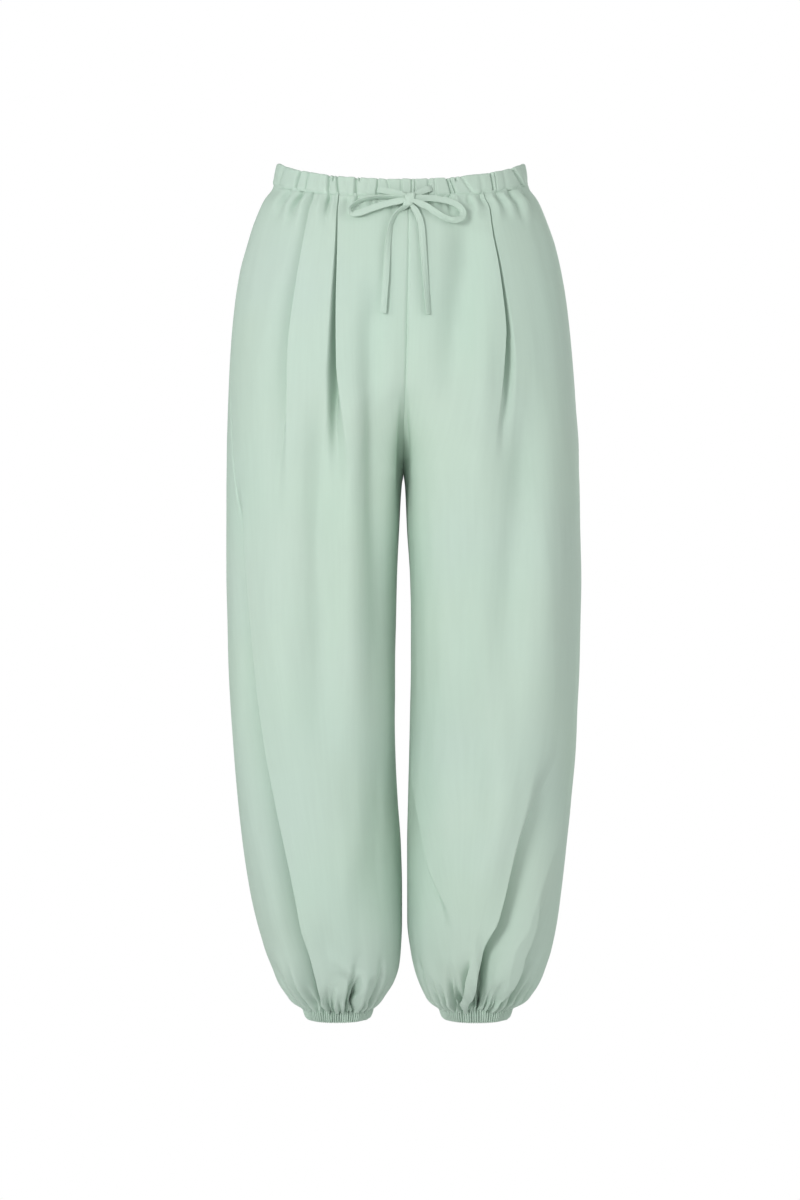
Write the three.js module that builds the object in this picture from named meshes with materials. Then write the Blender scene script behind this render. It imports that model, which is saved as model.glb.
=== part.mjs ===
import * as THREE from 'three';
import { mergeVertices } from 'three/addons/utils/BufferGeometryUtils.js';

// Balloon pants, filled out as if worn. Millimetres, +Z up, the front faces -Y.
// The origin is the middle of the waist opening. "right" and "left" are the wearer's:
// the right leg lies at -X and the left leg at +X.

const CLOTH_WALL = 2.0;
const BAND_WALL = 3.0;
const SEAM_GAP = 0.3;
const RISE = 300; // depth of the crotch point below the waist
const CUFF_TOP = -929;
const CUFF_BOTTOM = -944;
const STRING_WIDTH = 7;
const STRING_THICK = 1.8;

const MINT = 0xb9d0c0;

const SIDES = {
  right: { sign: -1, cuffX: 73.5, cuffRadius: 40.5 },
  left: { sign: 1, cuffX: 80.8, cuffRadius: 42 },
};

// A row for each level of the body: how far each leg's outer side and inner edge lie
// from x = 0, how far the ring wraps round to the inner leg (0 open .. 1 closed),
// and the depth in front and behind. Above the crotch the inner edge is the centre seam.
const LEVEL_COLUMNS = [
  'z', 'outerRight', 'outerLeft', 'edgeRight', 'edgeLeft', 'wrap', 'front', 'back',
];
const LEVELS = tableOf(LEVEL_COLUMNS, [
  [20, 136, 131, 0, 0, 0, 83, 83],
  [-12, 148, 142, 0, 0, 0, 86, 87],
  [-40, 161, 155, -5.5, 5.5, 0, 88.5, 90],
  [-60, 169, 163, -5.5, 5.5, 0.02, 94, 98],
  [-80, 175, 170, -5.2, 5.2, 0.05, 98.5, 104],
  [-110, 183, 177, -5, 5, 0.1, 104, 110],
  [-150, 189, 183.5, -4, 4, 0.19, 108, 115.5],
  [-195, 193, 188.5, -3, 3, 0.33, 111, 119.5],
  [-235, 195, 191.5, -2, 2, 0.51, 112.5, 120.5],
  [-265, 196, 193, -1, 1, 0.72, 113, 120],
  [-285, 196.5, 194.5, -0.3, 0.3, 0.91, 113, 118.5],
  [-RISE, 197, 195.5, 0.2, 0.2, 1, 112.5, 117],
  [-345, 197.7, 196.6, 1.5, 1.2, 1, 111, 113.5],
  [-400, 197.7, 197.7, 5, 3.9, 1, 109, 110],
  [-450, 197.7, 198.8, 7.3, 7.3, 1, 107, 108],
  [-500, 196.6, 197.7, 8.4, 8.4, 1, 105, 106],
  [-550, 195.4, 196.6, 9.5, 8.4, 1, 103.5, 104.5],
  [-600, 193.2, 194.3, 9.5, 7.3, 1, 102, 103],
  [-650, 189.8, 192.1, 8.4, 6.2, 1, 100.5, 101.5],
  [-700, 185.4, 187.6, 6.2, 5, 1, 99, 100],
  [-752, 179.8, 182, 2.8, 3.9, 1, 96.5, 97.5],
  [-802, 171.9, 176.4, 1.5, 3.9, 1, 93, 94],
  [-836, 164.1, 171.9, 1.5, 3.9, 1, 89, 90],
  [-869, 154, 165.2, 3, 7.3, 1, 82, 83],
  [-886, 147.3, 159.6, 5, 10.6, 1, 77, 78],
  [-903, 140.6, 152.9, 10.6, 16.2, 1, 70, 71],
  [-919, 128.5, 141, 21.8, 25.2, 1, 57, 58],
  [CUFF_TOP, 115, 123.8, 32, 37.8, 1, 43, 43],
]);

// How far the seams turn about each leg, in degrees towards the front.
const TURNS = tableOf(['z', 'outseamRight', 'inseamRight', 'outseamLeft', 'inseamLeft'], [
  [0, 0, 0, 0, 0],
  [-150, 0, 0, 0, 0],
  [-275, 18, 0, -3, 0],
  [-345, 29, -4, -8, 0],
  [-405, 36, -9, -13, 0],
  [-516, 46, -18, -22, 1],
  [-600, 53, -25, -29, 6],
  [-690, 61, -33, -38, 15],
  [-743, 65, -40, -43, 33],
  [-811, 70, -48, -50, 54],
  [-870, 75, -54, -55, 64],
  [CUFF_TOP, 76, -58, -58, 66],
]);

// Pleats folded outwards at the waist: the line of the folded edge, then how deep and how
// wide the hollow beside it grows, where it is deepest and where it has smoothed out.
const PLEATS = {
  right: [
    {
      line: [
        [-40, 101.5], [-86, 109.7], [-130, 116.2], [-189, 123.8], [-261, 130], [-348, 135.6], [-480, 139],
      ],
      depth: 4.5, lift: 1.5, widthTop: 3, widthLow: 26, deepest: -200, gone: -420,
    },
    {
      line: [[-40, 72], [-88, 71.8], [-163, 72.4], [-250, 70.8], [-337, 68.6], [-480, 69]],
      depth: 9.5, lift: 2.5, widthTop: 3, widthLow: 30, deepest: -230, gone: -470,
    },
  ],
  left: [
    {
      line: [[-40, 93.2], [-69, 96.4], [-121, 104], [-189, 109.4], [-249, 110.4], [-315, 107.2], [-434, 101]],
      depth: 8.5, lift: 2.5, widthTop: 3, widthLow: 28, deepest: -220, gone: -450,
    },
    {
      line: [[-40, 70.5], [-110, 68.4], [-164, 62], [-215, 54], [-300, 50], [-434, 50]],
      depth: 3, lift: 0.8, widthTop: 5, widthLow: 26, deepest: -120, gone: -300,
    },
  ],
};
const PLEAT_STEP = 1.5; // how far the folded edge stands over its hollow
const PLEAT_TOP = -45;
const PLEAT_WIDENING = 280; // the drop over which a pleat reaches its full width
const PLEAT_LIFT_REACH = 16;
const PLEAT_HOLLOW_POWER = 1.4;
const PLEAT_STATIONS = [12, 6, 0, -PLEAT_STEP]; // columns set across a pleat, from its edge
const EVEN_COLUMNS = { from: -350, over: 200 }; // below here the columns spread evenly

// Soft folds: a ridge has a positive height and a trough a negative one.
const FOLDS = [
  fold('right', 'front', -345, -620, -3.5, 18, [[-345, 84], [-480, 82], [-620, 86]]),
  fold('right', 'front', -330, -860, 3, 13, [[-345, 185], [-516, 167], [-690, 139], [-860, 103]]),
  fold('right', 'front', -780, -935, -3, 14, [[-780, 66], [-860, 62], [-935, 66]]),
  fold('left', 'front', -250, -560, 3, 20, [[-250, 84], [-400, 82], [-560, 84]]),
  fold('left', 'front', -670, -935, -7, 11, [
    [-694, 148], [-732, 140], [-769, 119], [-812, 100], [-868, 83], [-935, 77],
  ]),
  fold('left', 'front', -690, -925, 4, 11, [
    [-694, 128], [-732, 120], [-769, 101], [-812, 84], [-868, 68], [-935, 64],
  ]),
  fold('left', 'front', -820, -935, 4, 9, [[-820, 146], [-849, 138], [-883, 129], [-904, 118], [-935, 106]]),
  fold('left', 'front', -640, -840, 2.5, 12, [[-640, 22], [-743, 34], [-840, 58]]),
  fold('right', 'back', -40, -210, -3.5, 13, [[-40, 46], [-130, 52], [-210, 58]]),
  fold('right', 'back', -40, -300, -4.5, 14, [[-40, 98], [-160, 110], [-300, 122]]),
  fold('left', 'back', -40, -240, -4, 13, [[-40, 52], [-140, 58], [-240, 66]]),
  fold('left', 'back', -40, -290, -4.5, 14, [[-40, 102], [-160, 114], [-290, 124]]),
  fold('right', 'back', -620, -930, -6, 13, [[-620, 40], [-760, 62], [-860, 76], [-930, 80]]),
  fold('left', 'back', -640, -930, -6, 13, [[-640, 150], [-760, 128], [-860, 104], [-930, 92]]),
  fold('right', 'back', -300, -420, -4, 16, [[-300, 28], [-360, 52], [-420, 80]]),
  fold('left', 'back', -300, -400, -4, 16, [[-300, 30], [-360, 56], [-400, 78]]),
];

const FOLD_END = 60; // the length over which a soft fold fades in and out
const CUFF_GATHERS = 16; // round each leg above its cuff
const CUFF_GATHER_DEPTH = 3.6;
const GATHER_REACH = { least: 70, uneven: 45 };
const GATHER_SHIFT = { right: 0.2, left: 0.6 };
const CUFF_RIBS = 40;
const BAND_GATHERS = 28; // round the whole waistband
const BAND_RIPPLE = 1.3;

// The waistband's outer face: one oval round both sides, higher at the sides.
const BAND = {
  top: 136.6, bottom: 146, deepTop: 83, deepBottom: 88, shift: -2.8,
  crest: 13.2, crestDip: { front: 31, back: 8.5 }, rows: 4, columns: 52,
};
const WAIST_SEAM = { side: -12.3, dip: { front: 26, back: 9 } };
const DIP_POWER = 1.2; // how roundly the waist dips towards its middle

// The rows of a leg panel. The first few follow the slope of the waist seam.
const WAIST_ROWS = [0, 0.25, 0.5, 0.75, 1];
const PANEL_TOP = -40;
const WAIST_ROWS_END = -110;
const BODY_ROWS = [
  -150, -195, -235, -265, -285, -RISE, -345, -405, -485, -565, -645, -720, -780,
  -825, -860, -886, -905, -919, CUFF_TOP + SEAM_GAP,
];
const FRONT_COLUMNS = { outside: 10, between: 3, inside: 9 };
const BACK_COLUMNS = 20;

// ---------------------------------------------------------------- helpers

function tableOf(columns, rows) {
  return rows.map((row) => Object.fromEntries(columns.map((name, i) => [name, row[i]])));
}

function fold(side, face, top, bottom, height, width, path) {
  return { side, face, top, bottom, height, width, path };
}

function smooth(t) {
  const k = Math.min(Math.max(t, 0), 1);
  return k * k * (3 - 2 * k);
}

function mix(a, b, t) {
  return a + (b - a) * t;
}

// A smooth curve through a table's rows at level z, whose z values fall.
function readTable(table, z, name) {
  const last = table.length - 1;
  if (z >= table[0].z) return table[0][name];
  if (z <= table[last].z) return table[last][name];
  const i = table.findIndex((row) => row.z < z) - 1;
  const [p, q] = [table[i], table[i + 1]];
  const before = table[Math.max(i - 1, 0)];
  const after = table[Math.min(i + 2, last)];
  const span = q.z - p.z;
  const t = (z - p.z) / span;
  const slopeP = limitedSlope(before, p, q, name);
  const slopeQ = limitedSlope(p, q, after, name);
  const a = 2 * t ** 3 - 3 * t ** 2 + 1;
  const b = t ** 3 - 2 * t ** 2 + t;
  const c = -2 * t ** 3 + 3 * t ** 2;
  const d = t ** 3 - t ** 2;
  return a * p[name] + b * span * slopeP + c * q[name] + d * span * slopeQ;
}

// The harmonic mean of the slopes on both sides, so that the curve never overshoots.
function limitedSlope(p, q, r, name) {
  const s = p === q ? 0 : (q[name] - p[name]) / (q.z - p.z);
  const t = q === r ? 0 : (r[name] - q[name]) / (r.z - q.z);
  if (p === q) return t;
  if (q === r) return s;
  return s * t <= 0 ? 0 : (2 * s * t) / (s + t);
}

function readPath(path, z) {
  return readTable(path.map(([level, x]) => ({ z: level, x })), z, 'x');
}

function level(z) {
  const row = {};
  for (const name of LEVEL_COLUMNS) row[name] = readTable(LEVELS, z, name);
  return row;
}

function capital(word) {
  return word[0].toUpperCase() + word.slice(1);
}

// The ring of one leg at level z: its centre, its half width and where its edge lies.
function ring(side, z) {
  const row = level(z);
  const outer = row[`outer${capital(side)}`];
  const edge = row[`edge${capital(side)}`];
  const half = (outer - edge) / (1 + row.wrap);
  return { centre: outer - half, half, edge, front: row.front, back: row.back, wrap: row.wrap };
}

function faceOf(theta) {
  return Math.sin(theta) > 0 ? 'front' : 'back';
}

// Height of the waist seam, which is lowest at the front, at an angle round the waist.
function waistSeam(theta) {
  return WAIST_SEAM.side - WAIST_SEAM.dip[faceOf(theta)] * Math.abs(Math.sin(theta)) ** DIP_POWER;
}

function pleatHeight(pleat, x, z) {
  if (z < pleat.gone) return 0;
  const away = x - readPath(pleat.line, z);
  const opening = z > pleat.deepest
    ? mix(0.2, 1, smooth((PLEAT_TOP - z) / (PLEAT_TOP - pleat.deepest)))
    : 1 - smooth((pleat.deepest - z) / (pleat.deepest - pleat.gone));
  const width = mix(pleat.widthTop, pleat.widthLow, smooth((PANEL_TOP - z) / PLEAT_WIDENING));
  const depth = pleat.depth * opening;
  const lift = pleat.lift * opening;
  if (away <= -PLEAT_STEP) return lift * Math.exp((away + PLEAT_STEP) / PLEAT_LIFT_REACH);
  if (away <= 0) return mix(-depth, lift, -away / PLEAT_STEP);
  return -depth * Math.max(1 - away / width, 0) ** PLEAT_HOLLOW_POWER;
}

function foldHeight(item, x, z) {
  const ends = smooth((item.top - z) / FOLD_END) * smooth((z - item.bottom) / FOLD_END);
  const away = (x - readPath(item.path, z)) / item.width;
  return item.height * ends * Math.exp(-away * away);
}

// Uneven gathers that run up from the cuff and die out at uneven heights.
function gatherHeight(side, theta, z) {
  const shift = GATHER_SHIFT[side];
  const turns = (theta / (2 * Math.PI)) * CUFF_GATHERS + shift;
  const index = Math.round(turns);
  const reach = GATHER_REACH.least + GATHER_REACH.uneven * Math.sin(index * 2.4 + shift);
  const up = (z - CUFF_TOP) / reach;
  if (up > 1) return 0;
  const size = CUFF_GATHER_DEPTH * (0.8 + 0.3 * Math.sin(index * 4.1 + shift));
  const rise = 0.35 + 0.65 * smooth(up * 5);
  const fade = 1 - smooth(up);
  return -size * rise * fade * Math.cos(turns * 2 * Math.PI);
}

// The relief of the cloth at a point, out from the plain ring.
function relief(side, theta, x, z) {
  const face = faceOf(theta);
  let height = 0;
  if (face === 'front') for (const pleat of PLEATS[side]) height += pleatHeight(pleat, x, z);
  for (const item of FOLDS) {
    if (item.side === side && item.face === face) height += foldHeight(item, x, z);
  }
  const calm = smooth(Math.abs(Math.sin(theta)) * 3);
  return height * calm + gatherHeight(side, theta, z);
}

// A point of the cloth: theta is 0 at the outer side, half a turn at the inner leg,
// and passes the front on the way. Depth is how far it lies inside the outer face.
function clothPoint(side, theta, z, depth) {
  const { centre, half, edge, front, back } = ring(side, z);
  const deep = Math.sin(theta) > 0 ? front : back;
  const cos = Math.cos(theta);
  const sin = Math.sin(theta);
  const normal = new THREE.Vector2(cos / half, sin / deep).normalize();
  const plainX = centre + half * cos;
  const out = relief(side, theta, plainX, z) - depth;
  const x = Math.max(plainX + out * normal.x, edge + SEAM_GAP / 2);
  const y = -(deep * sin + out * normal.y);
  return new THREE.Vector3(SIDES[side].sign * x, y, z);
}

// A closed wall between two grids of points, [row][column], joined along their rims.
function wallGeometry(outer, inner, closedRound = false) {
  const rows = outer.length;
  const columns = outer[0].length;
  const at = (layer, i, j) => (layer * rows + i) * columns + (j % columns);
  const points = [...outer.flat(), ...inner.flat()];
  const faces = [];
  const quad = (a, b, c, d) => faces.push(a, b, c, a, c, d);
  const across = closedRound ? columns : columns - 1;
  for (let i = 0; i < rows - 1; i += 1) {
    for (let j = 0; j < across; j += 1) {
      quad(at(0, i, j), at(0, i + 1, j), at(0, i + 1, j + 1), at(0, i, j + 1));
      quad(at(1, i, j), at(1, i, j + 1), at(1, i + 1, j + 1), at(1, i + 1, j));
    }
  }
  for (let j = 0; j < across; j += 1) {
    quad(at(0, 0, j), at(0, 0, j + 1), at(1, 0, j + 1), at(1, 0, j));
    quad(at(0, rows - 1, j), at(1, rows - 1, j), at(1, rows - 1, j + 1), at(0, rows - 1, j + 1));
  }
  if (!closedRound) {
    const end = columns - 1;
    for (let i = 0; i < rows - 1; i += 1) {
      quad(at(0, i, 0), at(1, i, 0), at(1, i + 1, 0), at(0, i + 1, 0));
      quad(at(0, i, end), at(0, i + 1, end), at(1, i + 1, end), at(1, i, end));
    }
  }
  return solidGeometry(points, faces);
}

// A geometry whose faces point outwards, whichever way its points were listed.
function solidGeometry(points, faces) {
  let volume = 0;
  const cross = new THREE.Vector3();
  for (let k = 0; k < faces.length; k += 3) {
    cross.crossVectors(points[faces[k + 1]], points[faces[k + 2]]);
    volume += points[faces[k]].dot(cross);
  }
  if (volume < 0) {
    for (let k = 0; k < faces.length; k += 3) {
      [faces[k + 1], faces[k + 2]] = [faces[k + 2], faces[k + 1]];
    }
  }
  const geometry = new THREE.BufferGeometry().setFromPoints(points);
  geometry.setIndex(faces);
  return geometry;
}

function clothMesh(name, geometry) {
  const material = new THREE.MeshStandardMaterial({ color: MINT, roughness: 0.85, metalness: 0 });
  const mesh = new THREE.Mesh(geometry, material);
  mesh.name = name;
  return mesh;
}

// ---------------------------------------------------------------- leg panels

// The angles of a panel's two long seams at level z, from the outseam to the inner edge.
function seamAngles(side, face, z) {
  const outTurn = THREE.MathUtils.degToRad(readTable(TURNS, z, `outseam${capital(side)}`));
  const inTurn = THREE.MathUtils.degToRad(readTable(TURNS, z, `inseam${capital(side)}`));
  const { wrap } = ring(side, z);
  const closing = Math.acos(-Math.min(wrap, 1));
  const inner = closing - (z < -RISE ? inTurn : 0);
  if (face === 'front') return [outTurn, inner];
  const backInner = z < -RISE ? inner : 2 * Math.PI - closing;
  return [outTurn + 2 * Math.PI, backInner];
}

function spread(from, to, count) {
  return Array.from({ length: count }, (_, i) => mix(from, to, (i + 1) / count));
}

// The column angles of a panel: evenly spread low down, gathered on the pleats high up.
function columnAngles(side, face, z) {
  const [start, end] = seamAngles(side, face, z);
  if (face === 'back') return [start, ...spread(start, end, BACK_COLUMNS)];
  const { centre, half } = ring(side, z);
  const angleOf = (x) => Math.acos(Math.min(Math.max((x - centre) / half, -1), 1));
  const [outerPleat, innerPleat] = PLEATS[side].map((pleat) => readPath(pleat.line, z));
  const stations = (x) => PLEAT_STATIONS.map((away) => angleOf(x + away));
  const [a, b, c, d] = stations(outerPleat);
  const [e, f, g, h] = stations(innerPleat);
  const { outside, between, inside } = FRONT_COLUMNS;
  const pleated = [
    start, ...spread(start, a, outside), b, c, d,
    ...spread(d, e, between), f, g, h, ...spread(h, end, inside),
  ];
  const even = [start, ...spread(start, end, pleated.length - 1)];
  const blend = smooth((EVEN_COLUMNS.from - z) / EVEN_COLUMNS.over);
  return pleated.map((angle, j) => mix(angle, even[j], blend));
}

// Moves the two outermost columns in by half a seam gap.
function clearSeams(side, angles, z) {
  const { half, front } = ring(side, z);
  const speed = (theta) => Math.hypot(half * Math.sin(theta), front * Math.cos(theta));
  const step = SEAM_GAP / 2;
  const last = angles.length - 1;
  const way = Math.sign(angles[last] - angles[0]);
  const cleared = [...angles];
  cleared[0] += (way * step) / speed(angles[0]);
  cleared[last] -= (way * step) / speed(angles[last]);
  return cleared;
}

function panelRows(side, face) {
  const rows = [];
  const top = clearSeams(side, columnAngles(side, face, PANEL_TOP), PANEL_TOP);
  for (const share of WAIST_ROWS) {
    const base = columnAngles(side, face, mix(PANEL_TOP, WAIST_ROWS_END, share));
    const angles = clearSeams(side, base, WAIST_ROWS_END);
    rows.push(angles.map((theta, j) => {
      const seam = waistSeam(top[j]) - SEAM_GAP;
      return { theta, z: mix(seam, WAIST_ROWS_END, share) };
    }));
  }
  for (const z of BODY_ROWS) {
    const angles = clearSeams(side, columnAngles(side, face, z), z);
    rows.push(angles.map((theta) => ({ theta, z })));
  }
  return rows;
}

function legPanel(side, face) {
  const rows = panelRows(side, face);
  const layer = (depth) => rows.map((row) => row.map(({ theta, z }) => (
    clothPoint(side, theta, z, depth)
  )));
  return clothMesh(`${face}_${side}`, wallGeometry(layer(0), layer(CLOTH_WALL)));
}

// ---------------------------------------------------------------- waistband

// A point of the waistband; down is 0 at its crest and 1 at the waist seam.
function bandPoint(face, theta, down, depth) {
  const crest = BAND.crest - BAND.crestDip[face] * Math.abs(Math.sin(theta)) ** DIP_POWER;
  const gather = theta * BAND_GATHERS / (2 * Math.PI);
  const wave = Math.cos(gather * 2 * Math.PI + Math.sin(gather * 1.7));
  const puff = BAND_RIPPLE * wave * Math.sin(Math.PI * (0.15 + 0.7 * down));
  const out = depth > 0 ? -depth : puff;
  const half = mix(BAND.top, BAND.bottom, smooth(down)) + out;
  const deep = mix(BAND.deepTop, BAND.deepBottom, smooth(down)) + out;
  const z = mix(crest + (down === 0 ? 0.6 * wave : 0), waistSeam(theta), down);
  return new THREE.Vector3(BAND.shift + half * Math.cos(theta), -deep * Math.sin(theta), z);
}

function bandHalf(face) {
  const from = face === 'front' ? 0 : Math.PI;
  const edge = SEAM_GAP / 2 / BAND.deepTop;
  const angles = spread(from + edge, from + Math.PI - edge, BAND.columns);
  const drops = spread(0, 1, BAND.rows);
  const grid = (depth) => [0, ...drops].map((down) => (
    [from + edge, ...angles].map((theta) => bandPoint(face, theta, down, depth))
  ));
  return clothMesh(`waistband_${face}`, wallGeometry(grid(0), grid(BAND_WALL)));
}

// ---------------------------------------------------------------- cuffs

function cuff(side) {
  const { sign, cuffX, cuffRadius } = SIDES[side];
  const columns = CUFF_RIBS * 2;
  const levels = [
    { z: CUFF_TOP, radius: cuffRadius },
    { z: (CUFF_TOP + CUFF_BOTTOM) / 2, radius: cuffRadius - 1.4 },
    { z: CUFF_BOTTOM, radius: cuffRadius - 3.6 },
  ];
  const grid = (inner) => levels.map(({ z, radius }) => (
    Array.from({ length: columns }, (_, j) => {
      const rib = j % 2 === 0 ? 0 : -0.9;
      const r = inner ? radius - BAND_WALL : radius + rib;
      const theta = (j / columns) * 2 * Math.PI;
      return new THREE.Vector3(sign * cuffX + r * Math.cos(theta), r * Math.sin(theta), z);
    })
  ));
  return clothMesh(`cuff_${side}`, wallGeometry(grid(false), grid(true), true));
}

// ---------------------------------------------------------------- drawstring

// Routes by hand: x, z and how far the string's middle stands in front of the cloth.
const STRING_ROUTES = {
  string_loop_right: [
    [-0.6, -41.2, 8.2], [-11, -40.4, 6.2], [-25, -39.4, 4.8], [-39, -40.9, 4.6], [-51, -45.2, 5.2],
    [-57.5, -51.5, 6.6], [-56, -57.5, 7.8], [-48, -57.3, 8], [-35, -52.6, 8],
    [-20, -48, 8.4], [-9, -45.6, 9.4], [-0.9, -44.6, 10.6],
  ],
  string_loop_left: [
    [12.6, -41.2, 8.2], [23, -40.8, 5.8], [37, -41.6, 4.8], [51, -44.4, 5], [60.6, -49.6, 5.8],
    [64.6, -56.5, 7], [62, -63, 7.8], [54.6, -65.4, 8], [45, -63, 8], [35.4, -57.4, 8],
    [26.8, -51.6, 8.4], [19, -47.8, 9.4], [12.8, -45.4, 10.6],
  ],
  string_tail_right: [
    [2.4, -50.4, 6.6], [-3.2, -53.6, 4.4], [-8.6, -59, 3], [-13.4, -68.7, 2.4], [-16.6, -87, 2.2],
    [-18, -106.4, 2.2], [-19, -125.7, 2.2], [-20.5, -144.8, 2.2], [-22.3, -167.5, 2.2],
  ],
  string_tail_left: [
    [9.8, -50.6, 6.6], [13.8, -56, 4.2], [18.4, -67.9, 2.4], [20.6, -87.1, 2.2],
    [22, -106.4, 2.2], [23.4, -125.7, 2.2], [24.8, -144.8, 2.2], [26.7, -168.9, 2.2],
  ],
  string_lead_right: [[-27.6, -31.5, 3.2], [-20, -32.8, 3.9], [-11, -34, 4.6], [-0.6, -36.4, 7.4]],
  string_lead_left: [[29, -30, 3.5], [21.5, -32.2, 4.4], [12.6, -36.4, 7.3]],
};
const KNOT = { x: 6, z: -43, out: 7.6, wide: 12.5, tall: 13, thick: 8 };

// The y of the garment's front face at a point near the centre front.
function frontFace(x, z) {
  const bandTop = BAND.crest - BAND.crestDip.front;
  const bandBottom = WAIST_SEAM.side - WAIST_SEAM.dip.front;
  if (z > bandBottom) {
    const down = THREE.MathUtils.clamp((bandTop - z) / (bandTop - bandBottom), 0, 1);
    const half = mix(BAND.top, BAND.bottom, smooth(down));
    const deep = mix(BAND.deepTop, BAND.deepBottom, smooth(down)) + BAND_RIPPLE;
    return -deep * Math.sqrt(1 - ((x - BAND.shift) / half) ** 2);
  }
  const side = x < readTable(LEVELS, z, 'edgeLeft') ? 'right' : 'left';
  const { centre, half, front } = ring(side, z);
  const local = x * SIDES[side].sign;
  const cos = THREE.MathUtils.clamp((local - centre) / half, -1, 1);
  return -(front * Math.sqrt(1 - cos * cos) + Math.max(relief(side, Math.acos(cos), local, z), 0));
}

function stringPiece(name) {
  const route = STRING_ROUTES[name].map(([x, z, out]) => (
    new THREE.Vector3(x, frontFace(x, z) - out, z)
  ));
  const curve = new THREE.CatmullRomCurve3(route, false, 'centripetal');
  const section = new THREE.Shape();
  section.absellipse(0, 0, STRING_THICK / 2, STRING_WIDTH / 2, 0, 2 * Math.PI, false, 0);
  const steps = Math.max(4, Math.round(curve.getLength() / 7));
  const geometry = new THREE.ExtrudeGeometry(section, {
    extrudePath: curve, steps, curveSegments: 4, bevelEnabled: false,
  });
  geometry.deleteAttribute('normal');
  geometry.deleteAttribute('uv');
  return clothMesh(name, mergeVertices(geometry, 1e-4));
}

function knot() {
  const geometry = new THREE.SphereGeometry(0.5, 12, 8);
  geometry.scale(KNOT.wide, KNOT.thick, KNOT.tall);
  const mesh = clothMesh('string_knot', geometry);
  mesh.position.set(KNOT.x, frontFace(KNOT.x, KNOT.z) - KNOT.out, KNOT.z);
  return mesh;
}

// ---------------------------------------------------------------- the garment

const garment = new THREE.Group();
for (const face of ['front', 'back']) {
  garment.add(bandHalf(face));
  for (const side of Object.keys(SIDES)) garment.add(legPanel(side, face));
}
for (const side of Object.keys(SIDES)) garment.add(cuff(side));
for (const name of Object.keys(STRING_ROUTES)) garment.add(stringPiece(name));
garment.add(knot());

export default garment;
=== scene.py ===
"""Balloon pants: fine mint cloth, seams, gathers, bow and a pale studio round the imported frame."""
import math

import bpy
import numpy as np
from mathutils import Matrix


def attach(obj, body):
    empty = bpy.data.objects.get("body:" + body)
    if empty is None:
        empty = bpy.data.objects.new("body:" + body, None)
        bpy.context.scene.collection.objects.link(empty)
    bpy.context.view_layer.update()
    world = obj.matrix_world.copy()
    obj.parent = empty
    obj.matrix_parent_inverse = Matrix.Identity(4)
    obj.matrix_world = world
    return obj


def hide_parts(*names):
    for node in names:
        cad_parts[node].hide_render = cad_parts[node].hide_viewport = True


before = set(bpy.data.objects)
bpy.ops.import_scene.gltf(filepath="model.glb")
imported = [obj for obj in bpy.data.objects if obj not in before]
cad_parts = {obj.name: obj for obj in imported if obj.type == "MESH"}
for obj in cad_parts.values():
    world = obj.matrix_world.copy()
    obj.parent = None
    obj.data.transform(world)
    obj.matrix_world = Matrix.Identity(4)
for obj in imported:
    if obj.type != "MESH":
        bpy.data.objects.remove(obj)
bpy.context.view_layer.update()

MM = 0.001
BODY = "root"

# ---- driving sizes, in millimetres

CLOTH_WALL = 1.0  # a panel's least wall, front to back
BAND_WALL = 2.4
CUFF_WALL = 2.6
RISE = 330.0  # how far below the origin the two legs part
LEG_RADIUS = 120.0
CUFF_TOP = -929.0
CUFF_BOTTOM = -944.0
CUFF_DROOP = 1.2  # how far the cuff's front hangs lower than its sides
PETAL_DROOP = 2.6  # how far the cloth between two gathers hangs over the cuff
PETAL_DEPTH = 2.4
STRING_WIDTH = 7.0
STRING_THICK = 1.5
SIDES = {
    "right": {"sign": -1.0, "cuff_x": 73.5, "cuff_radius": 40.5},
    "left": {"sign": 1.0, "cuff_x": 80.8, "cuff_radius": 42.0},
}

# The picture's frame is 1200 pixels high, and one pixel is 1.12 mm at the garment's middle.
MM_PER_PIXEL = 1.12
FRAME_HEIGHT_PX = 1200.0
CAMERA = {"x": -3.9, "distance": 3000.0, "z": -477.0, "sensor": 36.0}

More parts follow.
